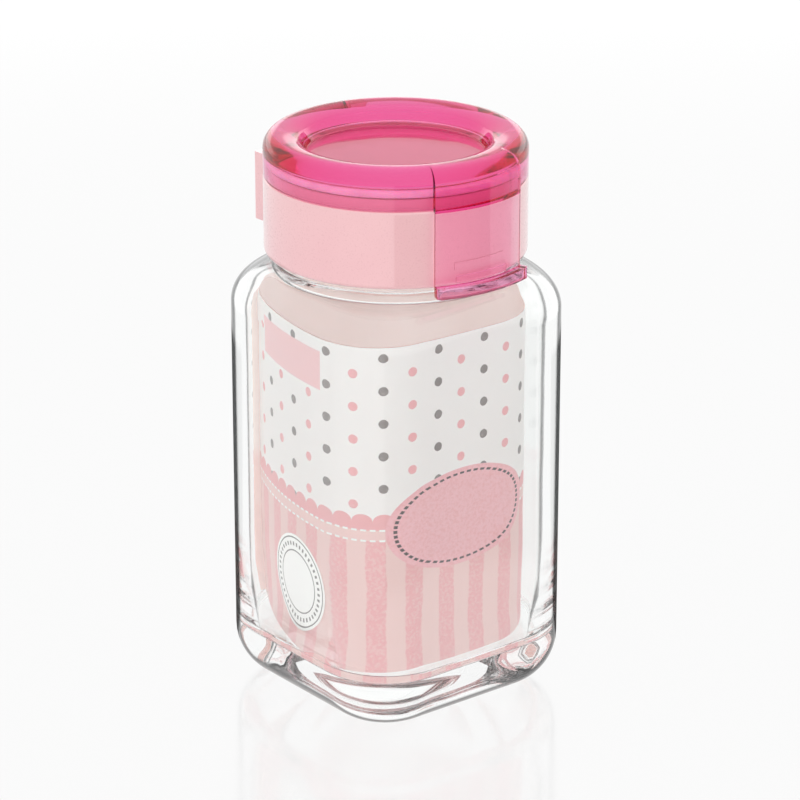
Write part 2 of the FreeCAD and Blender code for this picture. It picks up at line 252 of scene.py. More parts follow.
def blended(tree: NodeTree, first: NodeSocket, second: NodeSocket,
            share: "Signal | float") -> NodeSocket:
    """Two shaders mixed.

    Args:
        tree: Tree that holds the shaders.
        first: Shader where share is 0.
        second: Shader where share is 1.
        share: Amount of the second shader.

    Returns:
        The mixed shader's socket.
    """
    node = tree.nodes.new("ShaderNodeMixShader")
    if isinstance(share, Signal):
        tree.links.new(share.socket, node.inputs["Fac"])
    else:
        node.inputs["Fac"].default_value = share
    tree.links.new(first, node.inputs[1])
    tree.links.new(second, node.inputs[2])
    return node.outputs["Shader"]


def white_light(tree: NodeTree, strength: Signal) -> NodeSocket:
    """White light from a world.

    Args:
        tree: The world's tree.
        strength: The light's strength in each direction.

    Returns:
        The background shader's socket.
    """
    node = tree.nodes.new("ShaderNodeBackground")
    node.inputs["Color"].default_value = WHITE
    tree.links.new(strength.socket, node.inputs["Strength"])
    return node.outputs["Background"]


def dashes_round(side: Signal, rise: Signal, count: int, half: float, soft: float) -> Signal:
    """Evenly spaced dashes round a centre.

    Args:
        side: Distance to the right of the centre.
        rise: Distance above the centre.
        count: Number of dashes in a full turn.
        half: Half a dash, as a share of the pitch.
        soft: Half width of a dash's soft end, as a share of the pitch.

    Returns:
        1 in a dash and 0 between dashes.
    """
    turn = rise.apply("ARCTAN2", side) * (count / FULL_TURN)
    return abs(turn.offset(1.0)).below(half, soft)


class Bench:
    """A material in the making: its node tree, its shader and its textures."""

    def __init__(self, name: str) -> None:
        """Starts a material with a plain shader.

        Args:
            name: The material's name.
        """
        self.material = bpy.data.materials.new(name)
        self.material.use_nodes = True
        self.tree = self.material.node_tree
        self.tree.nodes.clear()
        self.shader = self.tree.nodes.new("ShaderNodeBsdfPrincipled")
        self.output = self.tree.nodes.new("ShaderNodeOutputMaterial")
        self.tree.links.new(self.shader.outputs["BSDF"], self.output.inputs["Surface"])
        self.coordinates = self.tree.nodes.new("ShaderNodeTexCoord")

    def set(self, **values: object) -> None:
        """Sets sockets of the shader.

        Args:
            values: New values, under the sockets' names in lower case with underscores.
        """
        sockets = {s.name.lower().replace(" ", "_"): s for s in self.shader.inputs}
        for name, value in values.items():
            sockets[name].default_value = value

    def feed(self, name: str, source: "Signal | NodeSocket") -> None:
        """Links a signal or a socket to one of the shader's inputs."""
        socket = source.socket if isinstance(source, Signal) else source
        self.tree.links.new(socket, self.shader.inputs[name])

    def noise(self, scale: float, detail: float = 2.0) -> Signal:
        """A noise texture on the object's own coordinates.

        Args:
            scale: The texture's scale.
            detail: Number of finer layers.

        Returns:
            The noise, around 0.5.
        """
        node = self.tree.nodes.new("ShaderNodeTexNoise")
        node.inputs["Scale"].default_value = scale
        node.inputs["Detail"].default_value = detail
        self.tree.links.new(self.coordinates.outputs["Object"], node.inputs["Vector"])
        return Signal(self.tree, node.outputs["Fac"])

    def uv(self, width: float, height: float) -> tuple[Signal, Signal]:
        """The surface's own UV coordinates, scaled to a width and a height."""
        across, up, _ = axes(self.tree, self.coordinates.outputs["UV"])
        return across * width, up * height

    def rim(self, start: float, full: float) -> Signal:
        """How far the surface is turned away from the eye, from 0 at start to 1 at full."""
        node = self.tree.nodes.new("ShaderNodeLayerWeight")
        return Signal(self.tree, node.outputs["Facing"]).span(start, full)

    def mix(self, base: "Colour | NodeSocket", top: "Colour | NodeSocket",
            share: Signal) -> NodeSocket:
        """One colour laid over another.

        Args:
            base: Colour where share is 0.
            top: Colour where share is 1.
            share: Amount of the top colour.

        Returns:
            The mixed colour's socket.
        """
        node = self.tree.nodes.new("ShaderNodeMix")
        node.data_type = "RGBA"
        self.tree.links.new(share.socket, node.inputs[0])
        for socket, value in ((node.inputs[6], base), (node.inputs[7], top)):
            if isinstance(value, NodeSocket):
                self.tree.links.new(value, socket)
            else:
                socket.default_value = value
        return node.outputs[2]

    def bump(self, height: Signal, strength: float, distance: float) -> None:
        """Roughens the surface by a height signal.

        Args:
            height: The relief, from 0 to 1.
            strength: How much of it shows.
            distance: Depth of the relief in metres.
        """
        node = self.tree.nodes.new("ShaderNodeBump")
        node.inputs["Strength"].default_value = strength
        node.inputs["Distance"].default_value = distance
        self.tree.links.new(height.socket, node.inputs["Height"])
        self.tree.links.new(node.outputs["Normal"], self.shader.inputs["Normal"])

    def let_light_through(self, colour: Colour) -> None:
        """Sends shadow and diffuse rays straight on, so that light reaches what is behind.

        Args:
            colour: What one crossing of the surface leaves of the light.
        """
        clear = self.tree.nodes.new("ShaderNodeBsdfTransparent")
        clear.inputs["Color"].default_value = colour
        shader = self.shader.outputs["BSDF"]
        for ray in rays(self.tree, "Shadow", "Diffuse"):
            shader = blended(self.tree, shader, clear.outputs["BSDF"], ray)
        self.tree.links.new(shader, self.output.inputs["Surface"])


# Finishes


@dataclass(frozen=True)
class Glass:
    """Clear soda glass with the faint waviness of a pressed jar, and painted shade at its grazing
    edges.
    """

    tint: Colour = (0.985, 0.995, 0.99, 1.0)
    # Painted shade: near-black colour laid on where the surface turns away from the eye, for dark
    # outlines.
    edge: Colour = (0.01, 0.011, 0.011, 1.0)
    painted_shade_from: float = 0.64
    painted_shade_full: float = 0.73
    crossing: Colour = (0.98, 0.98, 0.98, 1.0)
    ior: float = 1.5
    wave_scale: float = 55.0
    wave_strength: float = 0.25
    wave_depth: float = 0.0004

    def material(self) -> Material:
        """Builds the glass.

        Returns:
            The finished material.
        """
        bench = Bench(Slot.GLASS.value)
        # Painted shade: the colour darkens towards black where the surface turns away from the eye.
        rim = bench.rim(self.painted_shade_from, self.painted_shade_full)
        bench.feed("Base Color", bench.mix(self.tint, self.edge, rim))
        bench.set(roughness=0.0, ior=self.ior, transmission_weight=1.0)
        bench.bump(bench.noise(self.wave_scale, 1.0), self.wave_strength, self.wave_depth)
        bench.let_light_through(self.crossing)
        return bench.material


@dataclass(frozen=True)
class TintedPlastic:
    """See-through plastic that takes its colour from its thickness, with painted shade at its rims.
    """

    surface: Colour = (1.0, 0.93, 0.955, 1.0)
    # Painted shade: dark magenta laid on where the surface turns away from the eye.
    edge: Colour = (0.72, 0.2, 0.45, 1.0)
    painted_shade_from: float = 0.55
    painted_shade_full: float = 0.9
    crossing: Colour = (1.0, 0.93, 0.96, 1.0)
    absorbed: Colour = (0.94, 0.05, 0.54, 1.0)
    density: float = 250.0
    ior: float = 1.49
    roughness: tuple[float, float] = (0.021, 0.039)
    cloud_scale: float = 400.0
    ripple_scale: float = 90.0
    ripple_strength: float = 0.15
    ripple_depth: float = 0.0003

    def material(self) -> Material:
        """Builds the plastic.

        Returns:
            The finished material.
        """
        bench = Bench(Slot.LID.value)
        # Painted shade: the colour darkens towards magenta where the surface turns away from the
        # eye.
        rim = bench.rim(self.painted_shade_from, self.painted_shade_full)
        bench.feed("Base Color", bench.mix(self.surface, self.edge, rim))
        bench.set(ior=self.ior, transmission_weight=1.0)
        bench.feed("Roughness", bench.noise(self.cloud_scale).span(0.3, 0.7, *self.roughness))
        bench.bump(bench.noise(self.ripple_scale, 1.0), self.ripple_strength, self.ripple_depth)
        absorption = bench.tree.nodes.new("ShaderNodeVolumeAbsorption")
        absorption.inputs["Color"].default_value = self.absorbed
        absorption.inputs["Density"].default_value = self.density
        bench.tree.links.new(absorption.outputs["Volume"], bench.output.inputs["Volume"])
        bench.let_light_through(self.crossing)
        return bench.material


@dataclass(frozen=True)
class MouldedPlastic:
    """Opaque satin plastic with a fine moulding grain."""

    slot: Slot
    colour: Colour
    shade: Colour
    roughness: float = 0.3
    roughness_spread: float = 0.05
    coat: float = 0.9
    coat_roughness: float = 0.03
    coat_ior: float = 1.7
    cloud_scale: float = 60.0
    grain_scale: float = 2600.0
    grain_strength: float = 0.02
    grain_depth: float = 0.00005

    def material(self) -> Material:
        """Builds the plastic.

        Returns:
            The finished material.
        """
        bench = Bench(self.slot.value)
        cloud = bench.noise(self.cloud_scale, 3.0).span(0.3, 0.7)
        bench.feed("Base Color", bench.mix(self.colour, self.shade, cloud))
        grain = bench.noise(self.grain_scale)
        smoothest = self.roughness - self.roughness_spread
        roughest = self.roughness + self.roughness_spread
        bench.feed("Roughness", grain.span(0.2, 0.8, smoothest, roughest))
        bench.set(
            coat_weight=self.coat, coat_roughness=self.coat_roughness, coat_ior=self.coat_ior)
        bench.bump(grain, self.grain_strength, self.grain_depth)
        return bench.material


@dataclass(frozen=True)
class Silicone:
    """Milky rubber for the seal ring and the liner."""

    slot: Slot
    colour: Colour
    shade: Colour
    roughness: float = 0.5
    milkiness: float = 0.4
    milk_depth: float = 0.001
    cloud_scale: float = 250.0
    grain_scale: float = 3000.0
    grain_strength: float = 0.1
    grain_depth: float = 0.00005

    def material(self) -> Material:
        """Builds the rubber.

        Returns:
            The finished material.
        """
        bench = Bench(self.slot.value)
        cloud = bench.noise(self.cloud_scale, 3.0).span(0.3, 0.7)
        bench.feed("Base Color", bench.mix(self.colour, self.shade, cloud))
        bench.set(
            roughness=self.roughness, subsurface_weight=self.milkiness,
            subsurface_scale=self.milk_depth)
        bench.bump(bench.noise(self.grain_scale), self.grain_strength, self.grain_depth)
        return bench.material


@dataclass(frozen=True)
class Steel:
    """Drawn steel wire with fine lines along it."""

    colour: Colour = (0.86, 0.86, 0.85, 1.0)
    shade: Colour = (0.74, 0.74, 0.73, 1.0)
    roughness: tuple[float, float] = (0.34, 0.48)
    line_scale: float = 3500.0

    def material(self) -> Material:
        """Builds the steel.

        Returns:
            The finished material.
        """
        bench = Bench(Slot.STEEL.value)
        lines = bench.noise(self.line_scale)
        bench.feed("Base Color", bench.mix(self.colour, self.shade, lines.span(0.35, 0.75)))
        bench.feed("Roughness", lines.span(0.2, 0.8, *self.roughness))
        bench.set(metallic=1.0)
        return bench.material


@dataclass(frozen=True)
class Sheet:
    """A sheet in print: its material, the place on the flat sheet and the paper's grain."""

    bench: Bench
    across: Signal
    up: Signal
    grain: Signal


@dataclass(frozen=True)
class CardPrint:
    """The card's print: dots over a scalloped border over candy stripes, with two plain fields.

    Lengths are millimetres on the flat card, across as on the sleeve and up from the foot. A
    value that ends in soft is half the width of a printed edge.
    """

    width: float
    height: float
    paper: Colour = srgb(250, 250, 246)
    pink: Colour = srgb(240, 172, 175)
    pale: Colour = srgb(243, 202, 198)
    grey: Colour = srgb(132, 130, 128)
    ink: Colour = srgb(88, 84, 84)
    badge_pink: Colour = srgb(246, 186, 192)
    patch_pink: Colour = srgb(250, 196, 198)

    roughness: float = 0.45
    coat: float = 0.1
    coat_roughness: float = 0.3
    glow_through: float = 0.6
    glow_depth: float = 0.002
    glow_reach: tuple[float, float, float] = (1.0, 0.9, 0.9)
    grain_scale: float = 1500.0
    grain_strength: float = 0.08
    grain_depth: float = 0.0001

    dot_column: float = 6.75
    dot_row: float = 8.0
    dot_radius: float = 1.1
    dot_across: float = 52.8
    dot_up: float = 47.25
    dot_grain: float = 0.2

    border_top: float = 40.9
    border_soft: float = 0.1
    field_soft: float = 0.05
    scallop_pitch: float = 4.8
    scallop_rise: float = 1.9
    ribbon_top: float = 36.9
    ribbon_foot: float = 34.3
    stitch_pitch: float = 2.1
    stitch_share: float = 0.62
    stitch_width: float = 0.5
    stitch_soft: float = 0.08

    stripe_period: float = 8.95
    stripe_across: float = 66.8
    stripe_grain: float = 0.6
    stripe_soft: float = 0.2
    wobble: float = 1.2
    wobble_scale: float = 120.0

    badge_across: float = 73.5
    badge_up: float = 36.3
    badge_half_width: float = 20.3
    badge_half_height: float = 12.0
    badge_power: float = 2.1
    badge_soft: float = 0.006
    badge_stitch_inset: float = 1.3
    badge_stitch_half: float = 0.022
    badge_stitches: int = 56
    badge_dash_half: float = 0.31
    badge_dash_soft: float = 0.05

    patch_low: tuple[float, float] = (7.4, 69.1)
    patch_high: tuple[float, float] = (37.4, 78.5)
    patch_soft: float = 0.15

    def material(self) -> Material:
        """Builds the print.

        Returns:
            The finished material.
        """
        bench = Bench(Slot.CARD.value)
        grain = bench.noise(self.grain_scale, 4.0)
        sheet = Sheet(bench, *bench.uv(self.width, self.height), grain)
        colour = self._stripes(sheet)
        for layer in (self._dots, self._border, self._patch, self._badge):
            colour = layer(sheet, colour)
        bench.feed("Base Color", colour)
        bench.set(
            roughness=self.roughness, coat_weight=self.coat, coat_roughness=self.coat_roughness)
        bench.set(
            subsurface_weight=self.glow_through, subsurface_scale=self.glow_depth,
            subsurface_radius=self.glow_reach)
        bench.bump(grain, self.grain_strength, self.grain_depth)
        return bench.material

    def _stripes(self, sheet: Sheet) -> NodeSocket:
        """Candy stripes with wavering, grainy edges.

        Args:
            sheet: The card in print.

        Returns:
            The colour of the stripes.
        """
        wobble = (sheet.bench.noise(self.wobble_scale) - 0.5) * self.wobble
        quarter_period = self.stripe_period / 4.0
        phase = sheet.across + wobble - self.stripe_across - quarter_period
        ragged = abs(phase.offset(self.stripe_period)) + (sheet.grain - 0.5) * self.stripe_grain
        speckle = sheet.grain.span(0.42, 0.66, 1.0, 0.45)
        dark = ragged.below(quarter_period, self.stripe_soft) * speckle
        return sheet.bench.mix(self.pale, self.pink, dark)

    def _dots(self, sheet: Sheet, below: NodeSocket) -> NodeSocket:
        """Rows of dots in two colours on the bare paper of the upper half.

        Args:
            sheet: The card in print.
            below: Colour of the print so far.

        Returns:
            The colour with the upper half on it.
        """
        shifted = sheet.across - self.dot_across
        column = shifted.cell(self.dot_column)
        side = shifted.offset(self.dot_column)
        lifted = sheet.up - self.dot_up + column.parity() * (self.dot_row / 2.0)
        reach = side.hypot(lifted.offset(self.dot_row)) + (sheet.grain - 0.5) * self.dot_grain
        dot = reach.below(self.dot_radius, self.border_soft) * sheet.grain.span(0.5, 0.8, 1.0, 0.8)
        ink = sheet.bench.mix(self.grey, self.pink, column.parity())
        dotted = sheet.bench.mix(self.paper, ink, dot)
        upper = sheet.up.above(self.border_top - self.scallop_rise, self.field_soft)
        return sheet.bench.mix(below, dotted, upper)

    def _border(self, sheet: Sheet, below: NodeSocket) -> NodeSocket:
        """A scalloped edge and a pale ribbon held by two rows of stitches.

        Args:
            sheet: The card in print.
            below: Colour of the print so far.

        Returns:
            The colour with the border on it.
        """
        bench, up, soft = sheet.bench, sheet.up, self.border_soft
        side = sheet.across.offset(self.scallop_pitch) / (self.scallop_pitch / 2.0)
        bow = (side * side * -1.0 + 1.0).apply("MAXIMUM", 0.0).apply("SQRT")
        edge = bow * self.scallop_rise + (self.border_top - self.scallop_rise)
        lace = (edge - up).above(0.0, soft) * up.above(self.ribbon_foot, soft)
        colour = bench.mix(below, self.pink, lace)
        colour = bench.mix(colour, self.pale, up.within(self.ribbon_foot, self.ribbon_top, soft))
        dash = abs(sheet.across.offset(self.stitch_pitch)).below(
            self.stitch_pitch * self.stitch_share / 2.0, self.stitch_soft)
        for line in (self.ribbon_top, self.ribbon_foot):
            row = abs(up - line).below(self.stitch_width / 2.0, self.stitch_soft)
            colour = bench.mix(colour, self.paper, row * dash)
        return colour

    def _patch(self, sheet: Sheet, below: NodeSocket) -> NodeSocket:
        """A bare pink field near the top of the left side.

        Args:
            sheet: The card in print.
            below: Colour of the print so far.

        Returns:
            The colour with the field on it.
        """
        inside = sheet.across.within(self.patch_low[0], self.patch_high[0], self.patch_soft)
        inside = inside * sheet.up.within(self.patch_low[1], self.patch_high[1], self.patch_soft)
        return sheet.bench.mix(below, self.patch_pink, inside)

    def _badge(self, sheet: Sheet, below: NodeSocket) -> NodeSocket:
        """A bare oval badge with a dashed outline on the front.

        Args:
            sheet: The card in print.
            below: Colour of the print so far.

        Returns:
            The colour with the badge on it.
        """
        bench, power = sheet.bench, self.badge_power
        side = (sheet.across - self.badge_across) / self.badge_half_width
        rise = (sheet.up - self.badge_up) / self.badge_half_height
        reach = abs(side).apply("POWER", power) + abs(rise).apply("POWER", power)
        reach = reach.apply("POWER", 1.0 / power)
        shade = bench.mix(self.badge_pink, self.pink, sheet.grain.span(0.4, 0.7))
        colour = bench.mix(below, shade, reach.below(1.0, self.badge_soft))
        inset = 1.0 - self.badge_stitch_inset / self.badge_half_height
        line = abs(reach - inset).below(self.badge_stitch_half, self.badge_soft)
        dash = dashes_round(
            side, rise, self.badge_stitches, self.badge_dash_half, self.badge_dash_soft)
        return bench.mix(colour, self.ink, line * dash)


@dataclass(frozen=True)
class PlainCard:
    """The card's unprinted side, tinted pink partly by the print showing through and partly by
    painted pink light from the lid.
    """

    height: float
    # Painted light: both halves carry pink light from the lid, and the lower half is pinker where
    # the stripes show through.
    upper: Colour = srgb(242, 190, 178)
    lower: Colour = srgb(236, 160, 150)
    shade: Colour = srgb(236, 176, 164)
    border: float = 40.0
    border_soft: float = 3.0
    roughness: float = 0.6
    glow_through: float = 1.0
    glow_depth: float = 0.005
    glow_reach: tuple[float, float, float] = (1.0, 0.9, 0.9)
    cloud_scale: float = 60.0
    grain_scale: float = 1800.0
    grain_strength: float = 0.15
    grain_depth: float = 0.0001

    def material(self) -> Material:
        """Builds the bare paper.

        Returns:
            The finished material.
        """
        bench = Bench("card_inside")
        up = bench.uv(1.0, self.height)[1]
        # Painted light and show-through: pinker below the border, lighter above it.
        colour = bench.mix(self.lower, self.upper, up.above(self.border, self.border_soft))
        cloud = bench.noise(self.cloud_scale, 3.0).span(0.4, 1.0)
        bench.feed("Base Color", bench.mix(colour, self.shade, cloud))
        bench.set(
            roughness=self.roughness, subsurface_weight=self.glow_through,
            subsurface_scale=self.glow_depth, subsurface_radius=self.glow_reach)
        bench.bump(bench.noise(self.grain_scale, 3.0), self.grain_strength, self.grain_depth)
        return bench.material


@dataclass(frozen=True)
class StickerPrint:
    """White sticker paper with thin rings, a ring of ticks and a bare middle.

    Lengths are shares of the sticker's radius.
    """

    paper: Colour = srgb(249, 249, 247)
    ink: Colour = srgb(120, 116, 114)
    rings: tuple[float, ...] = (0.93, 0.66)
    ring_half: float = 0.014
    ring_soft: float = 0.006
    ticks: int = 40
    tick_from: float = 0.76
    tick_to: float = 0.84
    tick_soft: float = 0.01
    tick_half: float = 0.22
    tick_side_soft: float = 0.08
    roughness: float = 0.4
    grain_scale: float = 2200.0
    grain_strength: float = 0.08
    grain_depth: float = 0.0001

    def material(self) -> Material:
        """Builds the print.

        Returns:
            The finished material.
        """
        bench = Bench(Slot.STICKER.value)
        across, up = bench.uv(2.0, 2.0)
        side, rise = across - 1.0, up - 1.0
        reach = side.hypot(rise)
        tick = dashes_round(side, rise, self.ticks, self.tick_half, self.tick_side_soft)
        tick = tick * reach.within(self.tick_from, self.tick_to, self.tick_soft)
        colour = bench.mix(self.paper, self.ink, tick)
        for ring in self.rings:
            line = abs(reach - ring).below(self.ring_half, self.ring_soft)
            colour = bench.mix(colour, self.ink, line)
        bench.feed("Base Color", colour)
        bench.set(roughness=self.roughness)
        bench.bump(bench.noise(self.grain_scale, 3.0), self.grain_strength, self.grain_depth)
        return bench.material


@dataclass(frozen=True)
class StudioFloor:
    """A pale, slightly glossy sweep, with painted dark reflections: dark patches that only glossy
    surfaces mirror.

    The patches' bearings are in radians from the camera, to its right, and their reaches in metres.
    """

    front: Vector
    colour: Colour = (0.9, 0.9, 0.9, 1.0)
    roughness: float = 0.5
    # Colour of the painted dark reflections.
    dark: Colour = (0.1, 0.1, 0.1, 1.0)
    glow: float = 0.975
    mirror: float = 0.2
    mirror_roughness: float = 0.12
    front_bearing: tuple[float, float] = (-0.02, 1.4)
    front_reach: tuple[float, float] = (0.12, 0.6)
    side_bearing: tuple[float, float] = (1.95, 2.95)
    side_reach: tuple[float, float] = (0.04, 0.26)
    side_soft: float = 0.05
    card_soft: float = 0.01

    def material(self) -> Material:
        """Builds the floor, which is seen mostly as plain white with a faint reflection.

        Returns:
            The finished material.
        """
        bench = Bench("studio_floor")
        tree = bench.tree
        bench.set(base_color=self.colour, roughness=self.roughness)
        white = tree.nodes.new("ShaderNodeEmission")
        gloss = tree.nodes.new("ShaderNodeBsdfGlossy")
        gloss.inputs["Roughness"].default_value = self.mirror_roughness
        # Painted reflection: a dark patch where mirrored rays meet the floor, for dark outlines on
        # glossy and clear pieces.
        card = tree.nodes.new("ShaderNodeBsdfDiffuse")
        card.inputs["Color"].default_value = self.dark
        sheet = blended(tree, white.outputs["Emission"], gloss.outputs["BSDF"], self.mirror)
        floor = blended(tree, bench.shader.outputs["BSDF"], sheet, seen_directly(tree) * self.glow)
        laid = blended(tree, floor, card.outputs["BSDF"], self._dark_reflection_patches(bench))
        tree.links.new(laid, bench.output.inputs["Surface"])
        return bench.material

    def _dark_reflection_patches(self, bench: Bench) -> Signal:
        """Where the painted dark reflections lie, for mirrored rays alone.

        Args:
            bench: The floor's material.

        Returns:
            1 on a dark patch and 0 elsewhere.
        """
        x, y, _ = axes(bench.tree, bench.coordinates.outputs["Object"])
        ahead = x * self.front.x + y * self.front.y
        right = y * self.front.x - x * self.front.y
        turn = right.apply("ARCTAN2", ahead)
        reach = x.hypot(y)
        front = turn.within(*self.front_bearing, self.card_soft)
        side = abs(turn).within(*self.side_bearing, self.side_soft)
        front = front * reach.within(*self.front_reach, self.card_soft)
        side = side * reach.within(*self.side_reach, self.card_soft)
        return (front + side) * mirrored_only(bench.tree)


# Modelling helpers


@dataclass
class Profile:
    """An outline in the plane of radius and height, with rounded corners."""

    corners: list[tuple[Vector, float]] = field(default_factory=list)
    steps: int = 4

    def to(self, radius: float, height: float, rounding: float = 0.0) -> "Profile":
        """Adds a corner, rounded if a rounding radius is given."""
        self.corners.append((Vector((radius, height)), rounding))
        return self

    def arc(self, centre: tuple[float, float], radius: float, start: float, end: float,
            steps: int) -> "Profile":
        """Adds the points of an arc.

        Args:
            centre: Radius and height of the arc's centre.
            radius: The arc's own radius.
            start: First angle in degrees, from outward towards up.
            end: Last angle in degrees.
            steps: Number of segments.

        Returns:
            This profile.
        """
        for index in range(steps + 1):
            turn = math.radians(start + (end - start) * index / steps)
            self.to(centre[0] + radius * math.cos(turn), centre[1] + radius * math.sin(turn))
        return self

    def closed(self) -> list[Vector]:
        """Rounds the corners.

        Returns:
            The points of the closed outline.
        """
        points: list[Vector] = []
        for index, (corner, rounding) in enumerate(self.corners):
            if rounding <= 0.0:
                points.append(corner)
                continue
            before = (self.corners[index - 1][0] - corner).normalized()
            after = (self.corners[(index + 1) % len(self.corners)][0] - corner).normalized()
            half = before.angle(after) / 2.0
            middle = corner + (before + after).normalized() * (rounding / math.sin(half))
            start = corner + before * (rounding / math.tan(half)) - middle
            end = corner + after * (rounding / math.tan(half)) - middle
            sweep = start.angle_signed(end)
            for step in range(self.steps + 1):
                points.append(middle + Matrix.Rotation(-sweep * step / self.steps, 2) @ start)
        return points


def closed_loop(bm: BMesh, points: Sequence[Vector]) -> list[BMVert | BMEdge]:
    """Adds a closed outline in the plane of X and Z.

    Args:
        bm: Mesh that receives it.
        points: Radius and height of each point.

    Returns:
        The outline's vertices and edges.
    """
    verts = [bm.verts.new((p.x, 0.0, p.y)) for p in points]
    return verts + [bm.edges.new(pair) for pair in zip(verts, verts[1:] + verts[:1])]


def turned(points: Sequence[Vector], steps: int = TURN_STEPS) -> BMesh:
    """A closed outline turned all the way about Z.

    Args:
        points: Radius and height of each point of the outline.
        steps: Number of segments round the axis.

    Returns:
        The turned skin, welded and facing outward.
    """
    bm = bmesh.new()
    bmesh.ops.spin(
        bm, geom=closed_loop(bm, points), cent=(0, 0, 0), axis=(0, 0, 1), dvec=(0, 0, 0),
        angle=FULL_TURN, steps=steps, use_merge=True, use_duplicate=False)
    bmesh.ops.remove_doubles(bm, verts=bm.verts[:], dist=WELD)
    bmesh.ops.delete(bm, geom=[e for e in bm.edges if e.is_wire], context="EDGES")
    bmesh.ops.recalc_face_normals(bm, faces=bm.faces[:])
    return bm


@dataclass(frozen=True)
class Thread:
    """A helical ridge on the outside or the inside of a round wall."""

    root: float
    crest: float
    start: float
    root_half: float
    crest_half: float
    pitch: float = 4.23
    turns: float = 1.25

    def add_to(self, bm: BMesh) -> None:
        """Winds the ridge and closes its ends.

        Args:
            bm: Mesh that receives the ridge.
        """
        before = set(bm.verts)
        section = [
            Vector((self.root, self.start - self.root_half)),
            Vector((self.crest, self.start - self.crest_half)),
            Vector((self.crest, self.start + self.crest_half)),
            Vector((self.root, self.start + self.root_half))]
        steps = int(HELIX_STEPS * self.turns)
        bmesh.ops.spin(
            bm, geom=closed_loop(bm, section), cent=(0, 0, 0), axis=(0, 0, 1),
            dvec=(0, 0, self.pitch * self.turns / steps), angle=FULL_TURN * self.turns,
            steps=steps, use_duplicate=False)
        ridge = [v for v in bm.verts if v not in before]
        open_edges = {e for v in ridge for e in v.link_edges if e.is_boundary}
        bmesh.ops.holes_fill(bm, edges=list(open_edges), sides=len(section))
        faces = {f for v in ridge for f in v.link_faces}
        bmesh.ops.recalc_face_normals(bm, faces=list(faces))


def radius_of(point: Vector) -> float:
    """Distance of a point from the Z axis."""
    return math.hypot(point.x, point.y)


def on_radius(verts: Sequence[BMVert], radius: float) -> bool:
    """Whether vertices all lie at a distance from the Z axis."""
    return all(abs(radius_of(v.co) - radius) < ON_SURFACE for v in verts)


def bearing(face: BMFace, centre: float) -> float:
    """Degrees between a bearing and the middle of a face, without a sign.

    Args:
        face: The face.
        centre: The bearing in degrees from X.

    Returns:
        The angle, from 0 to 180.
    """
    middle = face.calc_center_median()
    turn = math.degrees(math.atan2(middle.y, middle.x)) - centre
    return abs((turn + 180.0) % 360.0 - 180.0)


def set_radius(vert: BMVert, radius: float) -> None:
    """Moves a vertex level to a distance from the Z axis.

    Args:
        vert: The vertex.
        radius: The distance.
    """
    factor = radius / radius_of(vert.co)
    vert.co.x *= factor
    vert.co.y *= factor


def facing_out(face: BMFace) -> float:
    """How far a face's normal points away from the Z axis, from -1 to 1."""
    middle = face.calc_center_median()
    return face.normal.dot(Vector((middle.x, middle.y, 0.0)).normalized())


def pulled(bm: BMesh, faces: Sequence[BMFace], place: Callable[[BMVert], None],
           keep: bool = False) -> list[BMFace]:
    """Extrudes faces and puts each new vertex where place moves it.

    Args:
        bm: The mesh.
        faces: Faces to extrude together.
        place: Moves one new vertex.
        keep: Whether the first faces stay, as the near end of a separate block.

    Returns:
        The faces at the end of the extrusion.
    """
    made = bmesh.ops.extrude_face_region(bm, geom=faces, use_keep_orig=True)["geom"]
    for vert in (g for g in made if isinstance(g, BMVert)):
        place(vert)
    if not keep:
        bmesh.ops.delete(bm, geom=faces, context="FACES")
    return [g for g in made if isinstance(g, BMFace)]


def next_ring(bm: BMesh, edges: Sequence[BMEdge], place: Callable[[BMVert], None]) -> list[BMEdge]:
    """Extrudes a ring of edges and puts each new vertex where place moves it.

    Args:
        bm: The mesh.
        edges: The ring so far.
        place: Moves one new vertex.

    Returns:
        The edges of the new ring.
    """
    made = bmesh.ops.extrude_edge_only(bm, edges=edges)["geom"]
    fresh = {g for g in made if isinstance(g, BMVert)}
    for vert in fresh:
        place(vert)
    return [g for g in made if isinstance(g, BMEdge) and set(g.verts) <= fresh]


def round_edges(bm: BMesh, edges: Sequence[BMEdge], width: float, segments: int) -> None:
    """Bevels edges.

    Args:
        bm: The mesh.
        edges: Edges to round.
        width: Width of the bevel.
        segments: Segments across the bevel.
    """
    bmesh.ops.bevel(
        bm, geom=edges, offset=width, offset_type="OFFSET", affect="EDGES", segments=segments,
        profile=0.5, clamp_overlap=True, material=-1)


def soften(bm: BMesh, width: float, segments: int = 3, angle: float = 50.0,
           wanted: Callable[[BMEdge], bool] = lambda edge: True) -> None:
    """Bevels the sharp edges of a mesh.

    Args:
        bm: The mesh.
        width: Width of the bevel.
        segments: Segments across the bevel.
        angle: Least angle in degrees that counts as sharp.
        wanted: Picks among the sharp edges.
    """
    bm.normal_update()
    limit = math.radians(angle)
    edges = [e for e in bm.edges if e.is_manifold and e.calc_face_angle(0.0) > limit and wanted(e)]
    round_edges(bm, edges, width, segments)


def linked_object(name: str, bm: BMesh, materials: Sequence[Material] = ()) -> Object:
    """Turns a mesh in millimetres into an object with smooth faces and sharp edges.

    Args:
        name: The object's name.
        bm: The mesh, which is freed.
        materials: Materials of the mesh.

    Returns:
        The object, linked to the scene.
    """
    bmesh.ops.scale(bm, vec=(METRES, METRES, METRES), verts=bm.verts[:])
    mesh = bpy.data.meshes.new(name)
    bm.to_mesh(mesh)
    bm.free()
    for material in materials:
        mesh.materials.append(material)
    mesh.shade_smooth()
    mesh.set_sharp_from_angle(angle=math.radians(SHARP_ANGLE))
    made = bpy.data.objects.new(name, mesh)
    bpy.context.scene.collection.objects.link(made)
    return made


